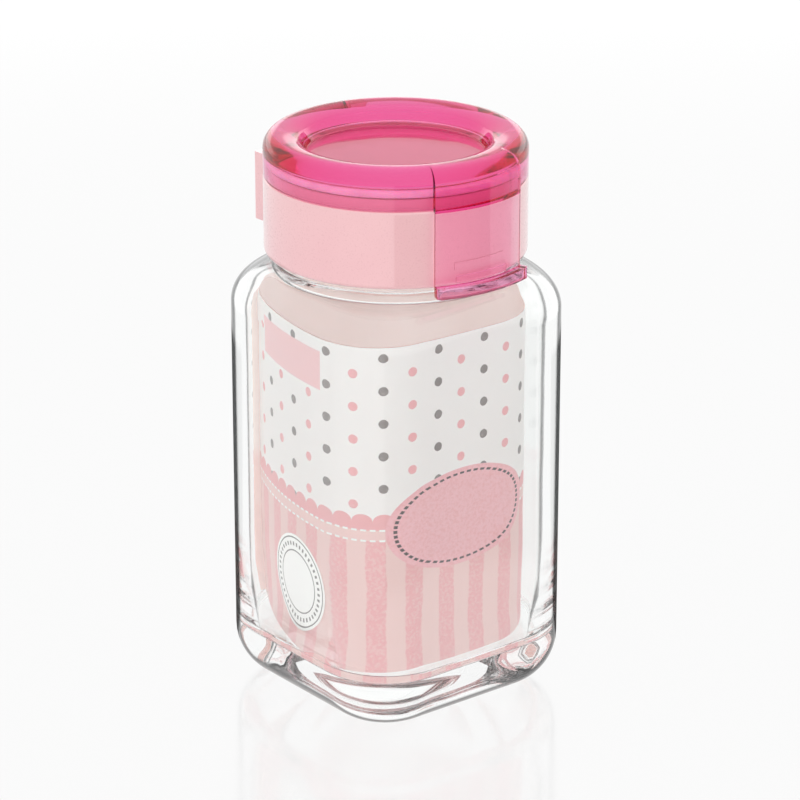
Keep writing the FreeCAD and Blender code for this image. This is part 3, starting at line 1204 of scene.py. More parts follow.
@dataclass
class Piece:
    """A finished object of the scene, riding on a body of the CAD model."""

    name: str
    body: Body
    slot: Slot
    replaces: str
    materials: Sequence[Material]

    def make(self, bm: BMesh) -> Object:
        """Turns a mesh in millimetres into the scene's object.

        Args:
            bm: The mesh, which is freed.

        Returns:
            The linked object.
        """
        bmesh.ops.recalc_face_normals(bm, faces=bm.faces[:])
        piece = linked_object(self.name, bm, self.materials)
        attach(piece, self.body.value)
        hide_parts(self.replaces)
        faces = len(piece.data.polygons)
        log.info("%s: %d faces, rides on %s", self.name, faces, self.body.value)
        return piece


def combine(target: Object, bm: BMesh, joining: Joining) -> None:
    """Cuts a mesh in millimetres out of a piece, or joins it to the piece.

    Args:
        target: The piece.
        bm: The other mesh, which is freed.
        joining: Whether it is added or cut away.
    """
    tool = linked_object("tool", bm)
    step = target.modifiers.new("combine", "BOOLEAN")
    step.operation = joining.value
    step.solver = "EXACT"
    step.object = tool
    depsgraph = bpy.context.evaluated_depsgraph_get()
    result = bpy.data.meshes.new_from_object(target.evaluated_get(depsgraph))
    target.modifiers.remove(step)
    target.data = result
    mesh = tool.data
    bpy.data.objects.remove(tool)
    bpy.data.meshes.remove(mesh)


def drill(target: Object, radius: float, reach: float, y: float, z: float) -> None:
    """Cuts a round hole along X through a piece.

    Args:
        target: The piece.
        radius: The hole's radius.
        reach: Half the hole's length.
        y: Place of the hole's axis.
        z: Height of the hole's axis.
    """
    bm = bmesh.new()
    bmesh.ops.create_cone(
        bm, cap_ends=True, segments=40, radius1=radius, radius2=radius, depth=2.0 * reach,
        matrix=Matrix.Translation((0.0, y, z)) @ Matrix.Rotation(math.pi / 2.0, 4, "Y"))
    combine(target, bm, Joining.CUT)


# Glass jar


def square_reach(half: float, corner: float, angle: float) -> float:
    """Distance from the middle of a rounded square to its outline.

    Args:
        half: Half the square's side.
        corner: Radius of its corners.
        angle: Direction in radians from X.

    Returns:
        The distance in that direction.
    """
    big = max(abs(math.cos(angle)), abs(math.sin(angle)))
    small = min(abs(math.cos(angle)), abs(math.sin(angle)))
    inner = half - corner
    if half / big * small <= inner:
        return half / big
    along = inner * (big + small)
    return along + math.sqrt(along * along - 2.0 * inner * inner + corner * corner)


@dataclass(frozen=True)
class Station:
    """A level ring of the glass: a rounded square, a circle, or a blend of the two."""

    height: float
    half: float = 0.0
    corner: float = 0.0
    radius: float = 0.0
    roundness: float = 1.0

    def place(self, vert: BMVert) -> None:
        """Puts a vertex on this ring without changing its bearing.

        Args:
            vert: The vertex.
        """
        angle = math.atan2(vert.co.y, vert.co.x)
        reach = self.radius * self.roundness
        if self.roundness < 1.0:
            reach += square_reach(self.half, self.corner, angle) * (1.0 - self.roundness)
        vert.co = Vector((math.cos(angle) * reach, math.sin(angle) * reach, self.height))


def quarter(steps: int) -> list[tuple[float, float]]:
    """Sine and cosine at even steps of a quarter turn."""
    turns = [math.pi / 2.0 * index / steps for index in range(steps + 1)]
    return [(math.sin(turn), math.cos(turn)) for turn in turns]


@dataclass(frozen=True)
class GlassJar:
    """The rounded square jar with its round threaded neck."""

    half: float = 32.5
    corner: float = 17.2
    wall: float = 3.2
    inner_corner: float = 14.5
    wall_levels: tuple[float, ...] = (30.0, 50.0, 70.0, 85.0)
    inner_levels: tuple[float, ...] = (80.0, 60.0, 40.0, 25.0)
    heel: float = 12.5
    heel_steps: int = 12
    inner_heel: float = 2.5
    inner_heel_steps: int = 8
    floor: float = 12.9
    floor_crown: float = 0.3
    floor_shares: tuple[float, ...] = (0.8, 0.55, 0.3, 0.04)
    push_up: float = 14.0
    push_up_depth: float = 1.2
    push_up_rings: tuple[float, ...] = (0.8, 4.0, 7.0, 10.0, 12.5, 13.6)
    rest_rings: tuple[float, ...] = (14.4, 17.0)
    shoulder_foot: float = 95.0
    shoulder_rise: float = 9.3
    shoulder_steps: int = 16
    inner_shoulder_foot: float = 93.5
    inner_shoulder_rise: float = 9.0
    inner_shoulder_steps: int = 14
    neck_root: float = 28.2
    neck: float = 27.5
    bore: float = 24.5
    rim: float = 122.9
    rim_round: float = 0.9
    rim_steps: int = 4
    bead: float = 29.0
    bead_height: float = 105.5
    bead_degrees: Sequence[int] = range(-60, 91, 15)
    thread: Thread = Thread(root=27.2, crest=28.8, start=113.4125, root_half=1.1, crest_half=0.45)
    segments: int = 192

    def stations(self) -> list[Station]:
        """Every ring of the skin, from the middle of the base to the middle of the floor."""
        return [*self._base(), *self._outside(), *self._mouth(), *self._inside()]

    def _base(self) -> list[Station]:
        """The shallow push-up and the resting ring under the jar.

        Returns:
            Their rings, from the middle outward.
        """
        rings = []
        for reach in self.push_up_rings:
            rise = self.push_up_depth * (1.0 - (reach / self.push_up) ** 2)
            rings.append(Station(rise, radius=reach))
        return rings + [Station(0.0, radius=reach) for reach in self.rest_rings]

    def _outside(self) -> list[Station]:
        """The heel, the wall and the shoulder that turns from square to round.

        Returns:
            Their rings, from the foot up.
        """
        rings = []
        for sine, cosine in quarter(self.heel_steps):
            inset = self.heel * (1.0 - sine)
            rings.append(Station(
                self.heel * (1.0 - cosine), self.half - inset, self.corner - inset, roundness=0.0))
        for height in self.wall_levels:
            rings.append(Station(height, self.half, self.corner, roundness=0.0))
        for sine, cosine in quarter(self.shoulder_steps):
            rings.append(Station(
                self.shoulder_foot + self.shoulder_rise * sine,
                self.half, self.corner, self.neck_root, 1.0 - cosine))
        return rings

    def _mouth(self) -> list[Station]:
        """The bead, the neck and the rim.

        Returns:
            Their rings, from the bead up and over the rim.
        """
        rings = []
        proud = self.bead - self.neck
        for angle in map(math.radians, self.bead_degrees):
            rings.append(Station(
                self.bead_height + proud * math.sin(angle),
                radius=self.neck + proud * math.cos(angle)))
        for sine, cosine in quarter(self.rim_steps):
            rings.append(Station(
                self.rim - self.rim_round * (1.0 - sine),
                radius=self.neck - self.rim_round * (1.0 - cosine)))
        for sine, cosine in quarter(self.rim_steps):
            rings.append(Station(
                self.rim - self.rim_round * (1.0 - cosine),
                radius=self.bore + self.rim_round * (1.0 - sine)))
        return rings

    def _inside(self) -> list[Station]:
        """The inner shoulder, wall, heel and floor.

        Returns:
            Their rings, from the bore down.
        """
        half = self.half - self.wall
        corner = self.inner_corner
        rings = []
        for cosine, sine in quarter(self.inner_shoulder_steps):
            rings.append(Station(
                self.inner_shoulder_foot + self.inner_shoulder_rise * sine,
                half, corner, self.bore, 1.0 - cosine))
        for height in self.inner_levels:
            rings.append(Station(height, half, corner, roundness=0.0))
        for cosine, sine in quarter(self.inner_heel_steps):
            inset = self.inner_heel * (1.0 - cosine)
            rise = self.inner_heel * (1.0 - sine)
            rings.append(Station(self.floor + rise, half - inset, corner - inset, roundness=0.0))
        for share in self.floor_shares:
            crown = self.floor_crown * (1.0 - share * share)
            rings.append(Station(self.floor + crown, radius=(half - self.inner_heel) * share))
        return rings

    def build(self, finish: Material) -> Object:
        """Models the jar ring by ring.

        Args:
            finish: The glass.

        Returns:
            The jar's object.
        """
        bm = bmesh.new()
        bmesh.ops.create_circle(bm, cap_ends=False, segments=self.segments, radius=1.0)
        first, *others = self.stations()
        for vert in bm.verts:
            first.place(vert)
        edges = bm.edges[:]
        bmesh.ops.edgeloop_fill(bm, edges=edges)
        for station in others:
            edges = next_ring(bm, edges, station.place)
        bmesh.ops.edgeloop_fill(bm, edges=edges)
        bmesh.ops.recalc_face_normals(bm, faces=bm.faces[:])
        self.thread.add_to(bm)
        return Piece("glass_jar_body", Body.JAR, Slot.GLASS, "glass_jar", [finish]).make(bm)


# Printed card and sticker


@dataclass(frozen=True)
class CardSleeve:
    """The printed card, seen as a flat strip and as the sleeve that it is bent to.

    Lengths across the strip start at the free end of its left side, at the back, and run round the
    front and the right. The last stretch, along the back, ends as a flap in the jar's left corner.
    The path lists the length of each stretch and the degrees by which it turns to the left.
    """

    begin: tuple[float, float] = (-18.35, 26.9)
    heading: float = -117.5
    path: tuple[tuple[float, float], ...] = (
        (38.9, 27.5), (22.0, 90.0), (23.0, 0.0), (28.3, 90.0), (16.7, 0.0), (28.3, 90.0),
        (29.7, 0.0))
    foot: float = 13.4
    height: float = 81.5
    thickness: float = 0.35
    flap: float = 10.0
    flap_rise: float = 2.6
    print_facing: float = 0.3
    columns: int = 200
    rows: int = 12

    @property
    def width(self) -> float:
        """Width of the flat card."""
        return sum(length for length, _ in self.path)

    def point(self, across: float, up: float, out: float) -> Vector:
        """Where a point of the flat card lies on the sleeve.

        Args:
            across: Length across the strip.
            up: Height above the card's foot.
            out: Distance out of the card's face.

        Returns:
            The point in the frame of the jar.
        """
        spot = Vector((*self.begin, 0.0))
        heading = math.radians(self.heading)
        rest = across
        for length, degrees in self.path:
            run = min(rest, length)
            bend = math.radians(degrees) * run / length
            chord = run * math.sin(bend / 2.0) / (bend / 2.0) if bend else run
            middle = heading + bend / 2.0
            spot += Vector((math.cos(middle), math.sin(middle), 0.0)) * chord
            heading += bend
            rest -= run
        spot += Vector((math.sin(heading), -math.cos(heading), 0.0)) * out
        cut = self.flap_rise * (1.0 - (self.width - across) / self.flap)
        spot.z = self.foot + max(up, cut)
        return spot

    def build(self, face: Material, inside: Material) -> Object:
        """Folds a flat sheet round.

        Args:
            face: Material of the printed side.
            inside: Material of the plain side.

        Returns:
            The card's object.
        """
        bm = bmesh.new()
        bm.loops.layers.uv.new("print")
        bmesh.ops.create_grid(
            bm, x_segments=self.columns, y_segments=self.rows, size=0.5, calc_uvs=True)
        for vert in bm.verts:
            across, up = (vert.co.x + 0.5) * self.width, (vert.co.y + 0.5) * self.height
            vert.co = self.point(across, up, 0.0)
        bmesh.ops.recalc_face_normals(bm, faces=bm.faces[:])
        bm.normal_update()
        if sum(facing_out(f) for f in bm.faces) < 0.0:
            bmesh.ops.reverse_faces(bm, faces=bm.faces[:])
        bmesh.ops.solidify(bm, geom=bm.faces[:], thickness=self.thickness)
        for side in bm.faces:
            if facing_out(side) < self.print_facing:
                side.material_index = 1
        return Piece("card_sleeve", Body.JAR, Slot.CARD, "paper_insert", [face, inside]).make(bm)


@dataclass(frozen=True)
class Sticker:
    """The round sticker, bent with the card that it is stuck on."""

    card: CardSleeve
    radius: float = 11.9
    across: float = 26.7
    up: float = 17.2
    thickness: float = 0.12
    lift: float = 0.03
    segments: int = 72
    ring_shares: tuple[float, ...] = (0.8, 0.6, 0.4, 0.2, 0.05)

    def build(self, finish: Material) -> Object:
        """Models the disc flat and bends it round the card.

        Args:
            finish: The sticker's print.

        Returns:
            The sticker's object.
        """
        bm = bmesh.new()
        bmesh.ops.create_circle(
            bm, cap_ends=False, segments=self.segments, radius=self.radius)
        edges = bm.edges[:]
        for share in self.ring_shares:
            edges = next_ring(bm, edges, lambda vert: set_radius(vert, share * self.radius))
        bmesh.ops.edgeloop_fill(bm, edges=edges)
        layer = bm.loops.layers.uv.new("print")
        for loop in (loop for face in bm.faces for loop in face.loops):
            spot = loop.vert.co / (2.0 * self.radius)
            loop[layer].uv = (spot.x + 0.5, spot.y + 0.5)
        for vert in bm.verts:
            vert.co = self.card.point(
                self.across + vert.co.x, self.up + vert.co.y, self.thickness)
        bmesh.ops.recalc_face_normals(bm, faces=bm.faces[:])
        if sum(f.normal.x for f in bm.faces) > 0.0:
            bmesh.ops.reverse_faces(bm, faces=bm.faces[:])
        bmesh.ops.solidify(bm, geom=bm.faces[:], thickness=self.thickness - self.lift)
        return Piece("sticker_disc", Body.JAR, Slot.STICKER, "round_sticker", [finish]).make(bm)


# Cap pieces


@dataclass(frozen=True)
class FlatRing:
    """A flat ring with rounded edges."""

    outer: float
    inner: float
    foot: float
    thickness: float
    rounding: float

    def skin(self) -> BMesh:
        """Turns the ring.

        Returns:
            The ring's mesh.
        """
        profile = Profile()
        top = self.foot + self.thickness
        profile.to(self.inner, self.foot, self.rounding).to(self.outer, self.foot, self.rounding)
        profile.to(self.outer, top, self.rounding).to(self.inner, top, self.rounding)
        return turned(profile.closed())


@dataclass(frozen=True)
class RimGasket(FlatRing):
    """The flat liner between the glass rim and the collar's deck."""

    outer: float = 28.7
    inner: float = 24.5
    foot: float = 122.9
    thickness: float = 1.5
    rounding: float = 0.25

    def build(self, finish: Material) -> Object:
        """The gasket's object in a finish."""
        piece = Piece("gasket_ring", Body.LINER, Slot.LINER, "rim_gasket", [finish])
        return piece.make(self.skin())


@dataclass(frozen=True)
class ScrewCollar:
    """The threaded collar with its deck, spigot, catch bead and hinge block."""

    radius: float = 30.75
    bore: float = 29.2
    foot: float = 108.5
    top: float = 127.0
    foot_round: float = 1.2
    edge_round: float = 0.3
    rim_round: float = 0.4
    root_round: float = 0.2
    deck: float = 2.6
    mouth: float = 22.8
    spigot: float = 28.2
    spigot_wall: float = 1.8
    spigot_top: float = 129.6
    catch_foot: float = 112.7
    catch_top: float = 114.3
    catch_proud: float = 0.2
    catch_half_angle: float = 13.2
    block_half_angle: float = 28.2
    block_widening: float = 1.02
    block_foot: float = 109.7
    block_sill: float = 109.8
    block_top: float = 126.3
    block_back: float = 34.9
    block_round: float = 0.8
    slot_half_angle: float = 16.9
    slot_foot: float = 118.1
    band_margin: float = 0.15
    thread: Thread = Thread(
        root=29.5, crest=27.9, start=111.2975, root_half=0.8, crest_half=0.35)
    hinge_y: float = 33.0
    hinge_z: float = 123.5
    pin_radius: float = 1.03
    pin_reach: float = 14.6

    def outline(self) -> list[Vector]:
        """The collar's turned section.

        Returns:
            Its points, from the bore's foot outward.
        """
        deck_z = self.top - self.deck
        spigot_bore = self.spigot - self.spigot_wall
        profile = Profile().to(self.bore, self.foot, self.edge_round)
        profile.to(self.radius, self.foot, self.foot_round)
        levels = (
            self.block_sill, self.catch_foot, self.catch_top, self.slot_foot, self.block_top)
        for height in levels:
            profile.to(self.radius, height)
        profile.to(self.radius, self.top, self.rim_round)
        profile.to(self.spigot, self.top, self.root_round)
        profile.to(self.spigot, self.spigot_top, self.rim_round)
        profile.to(spigot_bore, self.spigot_top, self.rim_round)
        profile.to(spigot_bore, self.top, self.root_round)
        profile.to(self.mouth, self.top, self.edge_round)
        profile.to(self.mouth, deck_z, self.edge_round)
        profile.to(self.bore, deck_z, self.rim_round)
        return profile.closed()

    def build(self, finish: Material) -> Object:
        """Turns the shell and pulls the bead and the hinge block out of its wall.

        Args:
            finish: The collar's plastic.

        Returns:
            The collar's object.
        """
        bm = turned(self.outline())
        self._pull_catch(bm)
        self._pull_block(bm)
        self.thread.add_to(bm)
        piece = Piece("collar_shell", Body.COLLAR, Slot.COLLAR, "screw_collar", [finish])
        collar = piece.make(bm)
        drill(collar, self.pin_radius, self.pin_reach, self.hinge_y, self.hinge_z)
        return collar

    def _band(self, bm: BMesh, low: float, high: float) -> list[BMFace]:
        """Faces of the outer wall between two heights.

        Args:
            bm: The collar.
            low: The lower height.
            high: The upper height.

        Returns:
            The faces all round.
        """
        faces = []
        for face in bm.faces:
            heights = [v.co.z for v in face.verts]
            level = min(heights) > low - self.band_margin and max(heights) < high + self.band_margin
            if level and on_radius(face.verts, self.radius):
                faces.append(face)
        return faces

    def _pull_catch(self, bm: BMesh) -> None:
        """Raises the bead that the lid's tooth snaps under.

        Args:
            bm: The collar.
        """
        band = self._band(bm, self.catch_foot, self.catch_top)
        faces = [f for f in band if bearing(f, FRONT) < self.catch_half_angle]
        pulled(bm, faces, lambda vert: set_radius(vert, self.radius + self.catch_proud))

    def _pull_block(self, bm: BMesh) -> None:
        """Raises the slotted hinge block at the back and rounds its edges.

        Args:
            bm: The collar.
        """
        faces = []
        for face in self._band(bm, self.block_foot, self.block_top):
            away = bearing(face, BACK)
            above_slot_foot = face.calc_center_median().z > self.slot_foot
            in_slot = above_slot_foot and away < self.slot_half_angle
            if away < self.block_half_angle and not in_slot:
                faces.append(face)

        def flatten(vert: BMVert) -> None:
            """Moves a vertex onto the block's flat back."""
            vert.co.x *= self.block_widening
            vert.co.y = self.block_back

        back = pulled(bm, faces, flatten)
        rim = {e for f in back for e in f.edges}
        soften(bm, self.block_round, segments=4, wanted=lambda edge: edge in rim)


@dataclass(frozen=True)
class SifterInsert:
    """The perforated cup in the collar's mouth."""

    radius: float = 22.65
    wall: float = 1.2
    foot: float = 113.0
    flange: float = 25.6
    flange_foot: float = 127.0
    flange_top: float = 128.0
    hole: float = 1.6
    hole_segments: int = 24
    ring_step: float = 6.4
    rings: int = 2
    segments: int = 96

    def build(self, finish: Material) -> Object:
        """Turns the cup's wall and fills its floor round the holes.

        Args:
            finish: The sifter's plastic.

        Returns:
            The sifter's object.
        """
        inner = self.radius - self.wall
        outline = Profile().to(inner, self.foot, 0.1).to(self.radius, self.foot, 0.3)
        outline.to(self.radius, self.flange_foot, 0.1).to(self.flange, self.flange_foot, 0.2)
        outline.to(self.flange, self.flange_top, 0.3).to(inner, self.flange_top, 0.4)
        bm = turned(outline.closed(), self.segments)
        plate = self._plate(inner + self.wall / 2.0)
        mesh = bpy.data.meshes.new("sifter_plate")
        plate.to_mesh(mesh)
        plate.free()
        bm.from_mesh(mesh)
        bpy.data.meshes.remove(mesh)
        piece = Piece("sifter_cup", Body.COLLAR, Slot.SIFTER, "sifter_insert", [finish])
        return piece.make(bm)

    def _holes(self) -> list[Vector]:
        """Places the holes in rings round a middle one.

        Returns:
            The holes' centres.
        """
        spots = [Vector((0.0, 0.0, 0.0))]
        for ring in range(1, self.rings + 1):
            count = 6 * ring
            for turn in (FULL_TURN * index / count for index in range(count)):
                spots.append(Vector((math.cos(turn), math.sin(turn), 0.0)) * self.ring_step * ring)
        return spots

    def _plate(self, reach: float) -> BMesh:
        """The perforated floor of the cup.

        Args:
            reach: The plate's radius.

        Returns:
            The plate's mesh.
        """
        bm = bmesh.new()
        bmesh.ops.create_circle(bm, cap_ends=False, segments=self.segments, radius=reach)
        for spot in self._holes():
            bmesh.ops.create_circle(
                bm, cap_ends=False, segments=self.hole_segments, radius=self.hole,
                matrix=Matrix.Translation(spot))
        bmesh.ops.triangle_fill(bm, edges=bm.edges[:], use_beauty=True, use_dissolve=False)
        for vert in bm.verts:
            vert.co.z = self.foot

        def raise_to_top(vert: BMVert) -> None:
            """Lifts a vertex to the plate's upper side."""
            vert.co.z = self.foot + self.wall

        pulled(bm, bm.faces[:], raise_to_top, keep=True)
        bmesh.ops.remove_doubles(bm, verts=bm.verts[:], dist=WELD)
        bmesh.ops.recalc_face_normals(bm, faces=bm.faces[:])
        return bm


@dataclass(frozen=True)
class FlipLid:
    """The see-through lid: rounded ring, sunken panel, finger tab and hinge knuckle."""

    radius: float = 30.75
    foot: float = 127.2
    top: float = 136.7
    wall: float = 1.8
    ring_width: float = 8.4
    crown_round: float = 3.55
    crown_steps: int = 12
    crown_foot: float = 132.4
    slope_from: float = 0.15
    slope_to: float = 0.7
    slope_steps: int = 5
    rim_drop: float = 1.4
    rim_round: float = 1.6
    panel_radius: float = 20.65
    panel_top: float = 131.9
    panel_thickness: float = 1.8
    panel_shares: tuple[float, ...] = (0.66, 0.33, 0.0)
    tab_half_angle: float = 22.5
    tab_radius: float = 32.5
    tab_inner: float = 31.8
    tab_crown: float = 28.0
    tab_levels: tuple[float, ...] = (126.75, 124.5, 121.5, 118.0, 114.5, 111.3, 109.7, 107.1)
    tooth_top: float = 111.3
    tooth_half_angle: float = 13.2
    tooth_proud: float = 0.2
    lip_top: float = 109.7
    lip_reach: float = 34.88
    lip_corner: float = 1.8
    lip_corner_segments: int = 6
    lip_corner_length: float = 1.0
    lip_corner_angle: float = 0.8
    edge: float = 0.42
    hinge_y: float = 33.0
    hinge_z: float = 123.5
    knuckle: float = 1.9
    knuckle_half: float = 8.2
    knuckle_round: float = 0.3
    knuckle_steps: int = 16
    web_front: float = 29.6
    web_back: float = 33.9
    web_top: float = 132.2
    web_chamfer: float = 3.0
    web_lap: float = 0.4
    web_drop: float = 1.0

    @property
    def crown(self) -> Vector:
        """Centre of the ring's outer rounding."""
        return Vector((self.radius - self.crown_round, self.top - self.crown_round))

    def outline(self) -> list[Vector]:
        """The lid's turned section.

        Returns:
            Its points, from the skirt's foot over the crown to the panel and back.
        """
        crown = self.crown
        run = self.ring_width - self.crown_round
        slope = (run * run + self.rim_drop * self.rim_drop) / (2.0 * self.rim_drop)
        lean = math.degrees(math.asin(run / slope))
        panel_foot = self.panel_top - self.panel_thickness
        hollow = self.panel_radius + self.wall
        profile = Profile().to(self.radius, self.foot)
        profile.arc((crown.x, crown.y), self.crown_round, 0.0, 90.0, self.crown_steps)
        profile.arc(
            (crown.x, self.top - slope), slope, 90.0 + lean * self.slope_from,
            90.0 + lean * self.slope_to, self.slope_steps)
        profile.to(self.radius - self.ring_width, self.top - self.rim_drop, self.rim_round)
        profile.to(self.panel_radius, self.panel_top, 0.5)
        for share in self.panel_shares:
            profile.to(self.panel_radius * share, self.panel_top)
        for share in reversed(self.panel_shares):
            profile.to(self.panel_radius * share, panel_foot)
        profile.to(hollow, panel_foot, 0.4).to(hollow, self.crown_foot, 0.5)
        profile.to(self.radius - self.wall, self.crown_foot, 0.8)
        profile.to(self.radius - self.wall, self.foot)
        return profile.closed()

    def build(self, finish: Material) -> Object:
        """Turns the shell, pulls the tab out of it and adds the knuckle.

        Args:
            finish: The lid's plastic.

        Returns:
            The lid's object.
        """
        bm = turned(self.outline())
        self._pull_tab(bm)
        soften(bm, self.edge)
        lid = Piece("lid_shell", Body.LID, Slot.LID, "flip_lid", [finish]).make(bm)
        combine(lid, self._knuckle(), Joining.ADD)
        return lid

    def _in_tab(self, face: BMFace) -> bool:
        """Whether a face lies in the tab's sector."""
        return bearing(face, FRONT) < self.tab_half_angle

    def _on_outside(self, face: BMFace) -> bool:
        """Whether a face belongs to the skirt's or the crown's outer side.

        Args:
            face: The face.

        Returns:
            True if all its corners lie there.
        """
        for vert in face.verts:
            spot = Vector((radius_of(vert.co), vert.co.z))
            if spot.y > self.crown.y + ON_SURFACE:
                off = abs((spot - self.crown).length - self.crown_round)
            else:
                off = abs(spot.x - self.radius)
            if off > ON_SURFACE or spot.x < self.crown.x - ON_SURFACE:
                return False
        return True

    def _in_step(self, face: BMFace) -> bool:
        """Whether a face is the underside of the strip that the tab drops from."""
        level = all(abs(v.co.z - self.foot) < ON_SURFACE for v in face.verts)
        return level and max(radius_of(v.co) for v in face.verts) > self.tab_inner

    def _proud(self, vert: BMVert) -> None:
        """Moves a vertex of the lid's outside onto the tab's outside.

        Args:
            vert: The vertex.
        """
        spot = Vector((radius_of(vert.co), vert.co.z)) - self.crown
        rounding = self.tab_radius - self.tab_crown
        if spot.y >= -ON_SURFACE:
            turn = math.atan2(max(spot.y, 0.0), spot.x)
            set_radius(vert, self.tab_crown + rounding * math.cos(turn))
            vert.co.z = self.top - rounding * (1.0 - math.sin(turn))
        else:
            set_radius(vert, self.tab_radius)

    def _pull_tab(self, bm: BMesh) -> None:
        """Raises the strip over the ring's front, drops it over the collar and adds its lip.

        Args:
            bm: The lid.
        """
        outside = [f for f in bm.faces if self._in_tab(f) and self._on_outside(f)]
        pulled(bm, outside, self._proud)
        step = [f for f in bm.faces if self._in_tab(f) and self._in_step(f)]
        for level in self.tab_levels:

            def drop(vert: BMVert) -> None:
                """Lowers a vertex to the next level, clear of the collar."""
                vert.co.z = level
                if radius_of(vert.co) < self.tab_inner:
                    set_radius(vert, self.tab_inner)

            step = pulled(bm, step, drop)
        tooth = [f for f in bm.faces if self._is_tooth(f)]
        pulled(bm, tooth, lambda vert: set_radius(vert, self.tab_inner - self.tooth_proud))
        lip = [f for f in bm.faces if self._is_lip(f)]
        pulled(bm, lip, lambda vert: set_radius(vert, self.lip_reach))
        bm.normal_update()
        corners = [e for e in bm.edges if self._is_lip_corner(e)]
        round_edges(bm, corners, self.lip_corner, self.lip_corner_segments)

    def _is_tooth(self, face: BMFace) -> bool:
        """Whether a face of the tab's inner side belongs to the catch tooth.

        Args:
            face: The face.

        Returns:
            True for the faces between the lip and the tooth's top.
        """
        heights = [v.co.z for v in face.verts]
        low = abs(min(heights) - self.lip_top) < ON_SURFACE
        high = abs(max(heights) - self.tooth_top) < ON_SURFACE
        inner = on_radius(face.verts, self.tab_inner)
        return low and high and inner and bearing(face, FRONT) < self.tooth_half_angle

    def _is_lip(self, face: BMFace) -> bool:
        """Whether a face of the tab's outer side is where the lip grows."""
        low = max(v.co.z for v in face.verts) < self.lip_top + ON_SURFACE
        return low and on_radius(face.verts, self.tab_radius)

    def _is_lip_corner(self, edge: BMEdge) -> bool:
        """Whether an edge is one of the lip's two outer upright corners."""
        upright = abs(edge.verts[0].co.z - edge.verts[1].co.z) > self.lip_corner_length
        sharp = edge.calc_face_angle(0.0) > self.lip_corner_angle
        return upright and sharp and on_radius(edge.verts, self.lip_reach)

    def _knuckle(self) -> BMesh:
        """The hinge knuckle and the web that hangs it on the skirt.

        Returns:
            Their mesh.
        """
        bm = bmesh.new()
        profile = Profile().to(self.web_front, self.web_top).to(self.web_front, self.foot)
        profile.to(self.hinge_y - self.knuckle, self.foot)
        profile.arc((self.hinge_y, self.hinge_z), self.knuckle, 180.0, 360.0, self.knuckle_steps)
        profile.to(self.hinge_y + self.knuckle, self.foot - self.web_drop)
        profile.to(self.web_back, self.web_top - self.web_chamfer)
        profile.to(self.radius + self.web_lap, self.web_top)
        side = bm.faces.new(
            [bm.verts.new((-self.knuckle_half, p.x, p.y)) for p in profile.closed()])

        def across(vert: BMVert) -> None:
            """Moves a vertex to the knuckle's other side."""
            vert.co.x = self.knuckle_half

        far = pulled(bm, [side], across, keep=True)
        bmesh.ops.recalc_face_normals(bm, faces=bm.faces[:])
        rims = [e for f in (*far, side) for e in f.edges]
        round_edges(bm, rims, self.knuckle_round, 2)
        return bm


@dataclass(frozen=True)
class LidSeal(FlatRing):
    """The silicone ring inside the lid."""

    outer: float = 28.8
    inner: float = 25.6
    foot: float = 129.8
    thickness: float = 1.8
    rounding: float = 0.6

    def build(self, finish: Material) -> Object:
        """The seal's object in a finish."""
        piece = Piece("seal_ring", Body.LID, Slot.SILICONE, "lid_seal", [finish])
        return piece.make(self.skin())


# Studio


@dataclass(frozen=True)
class Camera:
    """The camera at the photograph's angle."""

    azimuth: float = -38.39
    elevation: float = 21.0
    target_height: float = 70.40
    target_right: float = 0.994
    distance: float = 892.3
    lens: float = 169.8
    sensor: float = 36.0
    clip_start: float = 0.01

    @property
    def right(self) -> Vector:
        """The direction that points right in the image."""
        turn = math.radians(self.azimuth)
        return Vector((math.cos(turn), math.sin(turn), 0.0))

    @property
    def toward(self) -> Vector:
        """The level direction from the object to the camera."""
        turn = math.radians(self.azimuth)
        return Vector((math.sin(turn), -math.cos(turn), 0.0))

    def build(self) -> Object:
        """Adds the camera and makes it the scene's own.

        Returns:
            The camera's object.
        """
        data = bpy.data.cameras.new("camera")
        data.lens = self.lens
        data.sensor_width = self.sensor
        data.clip_start = self.clip_start
        camera = bpy.data.objects.new("camera", data)
        bpy.context.scene.collection.objects.link(camera)
        tilt = math.radians(self.elevation)
        back = self.toward * math.cos(tilt) + Vector((0.0, 0.0, math.sin(tilt)))
        target = Vector((0.0, 0.0, self.target_height)) + self.right * self.target_right
        camera.location = (target + back * self.distance) * METRES
        camera.rotation_euler = back.to_track_quat("Z", "Y").to_euler()
        bpy.context.scene.camera = camera
        return camera


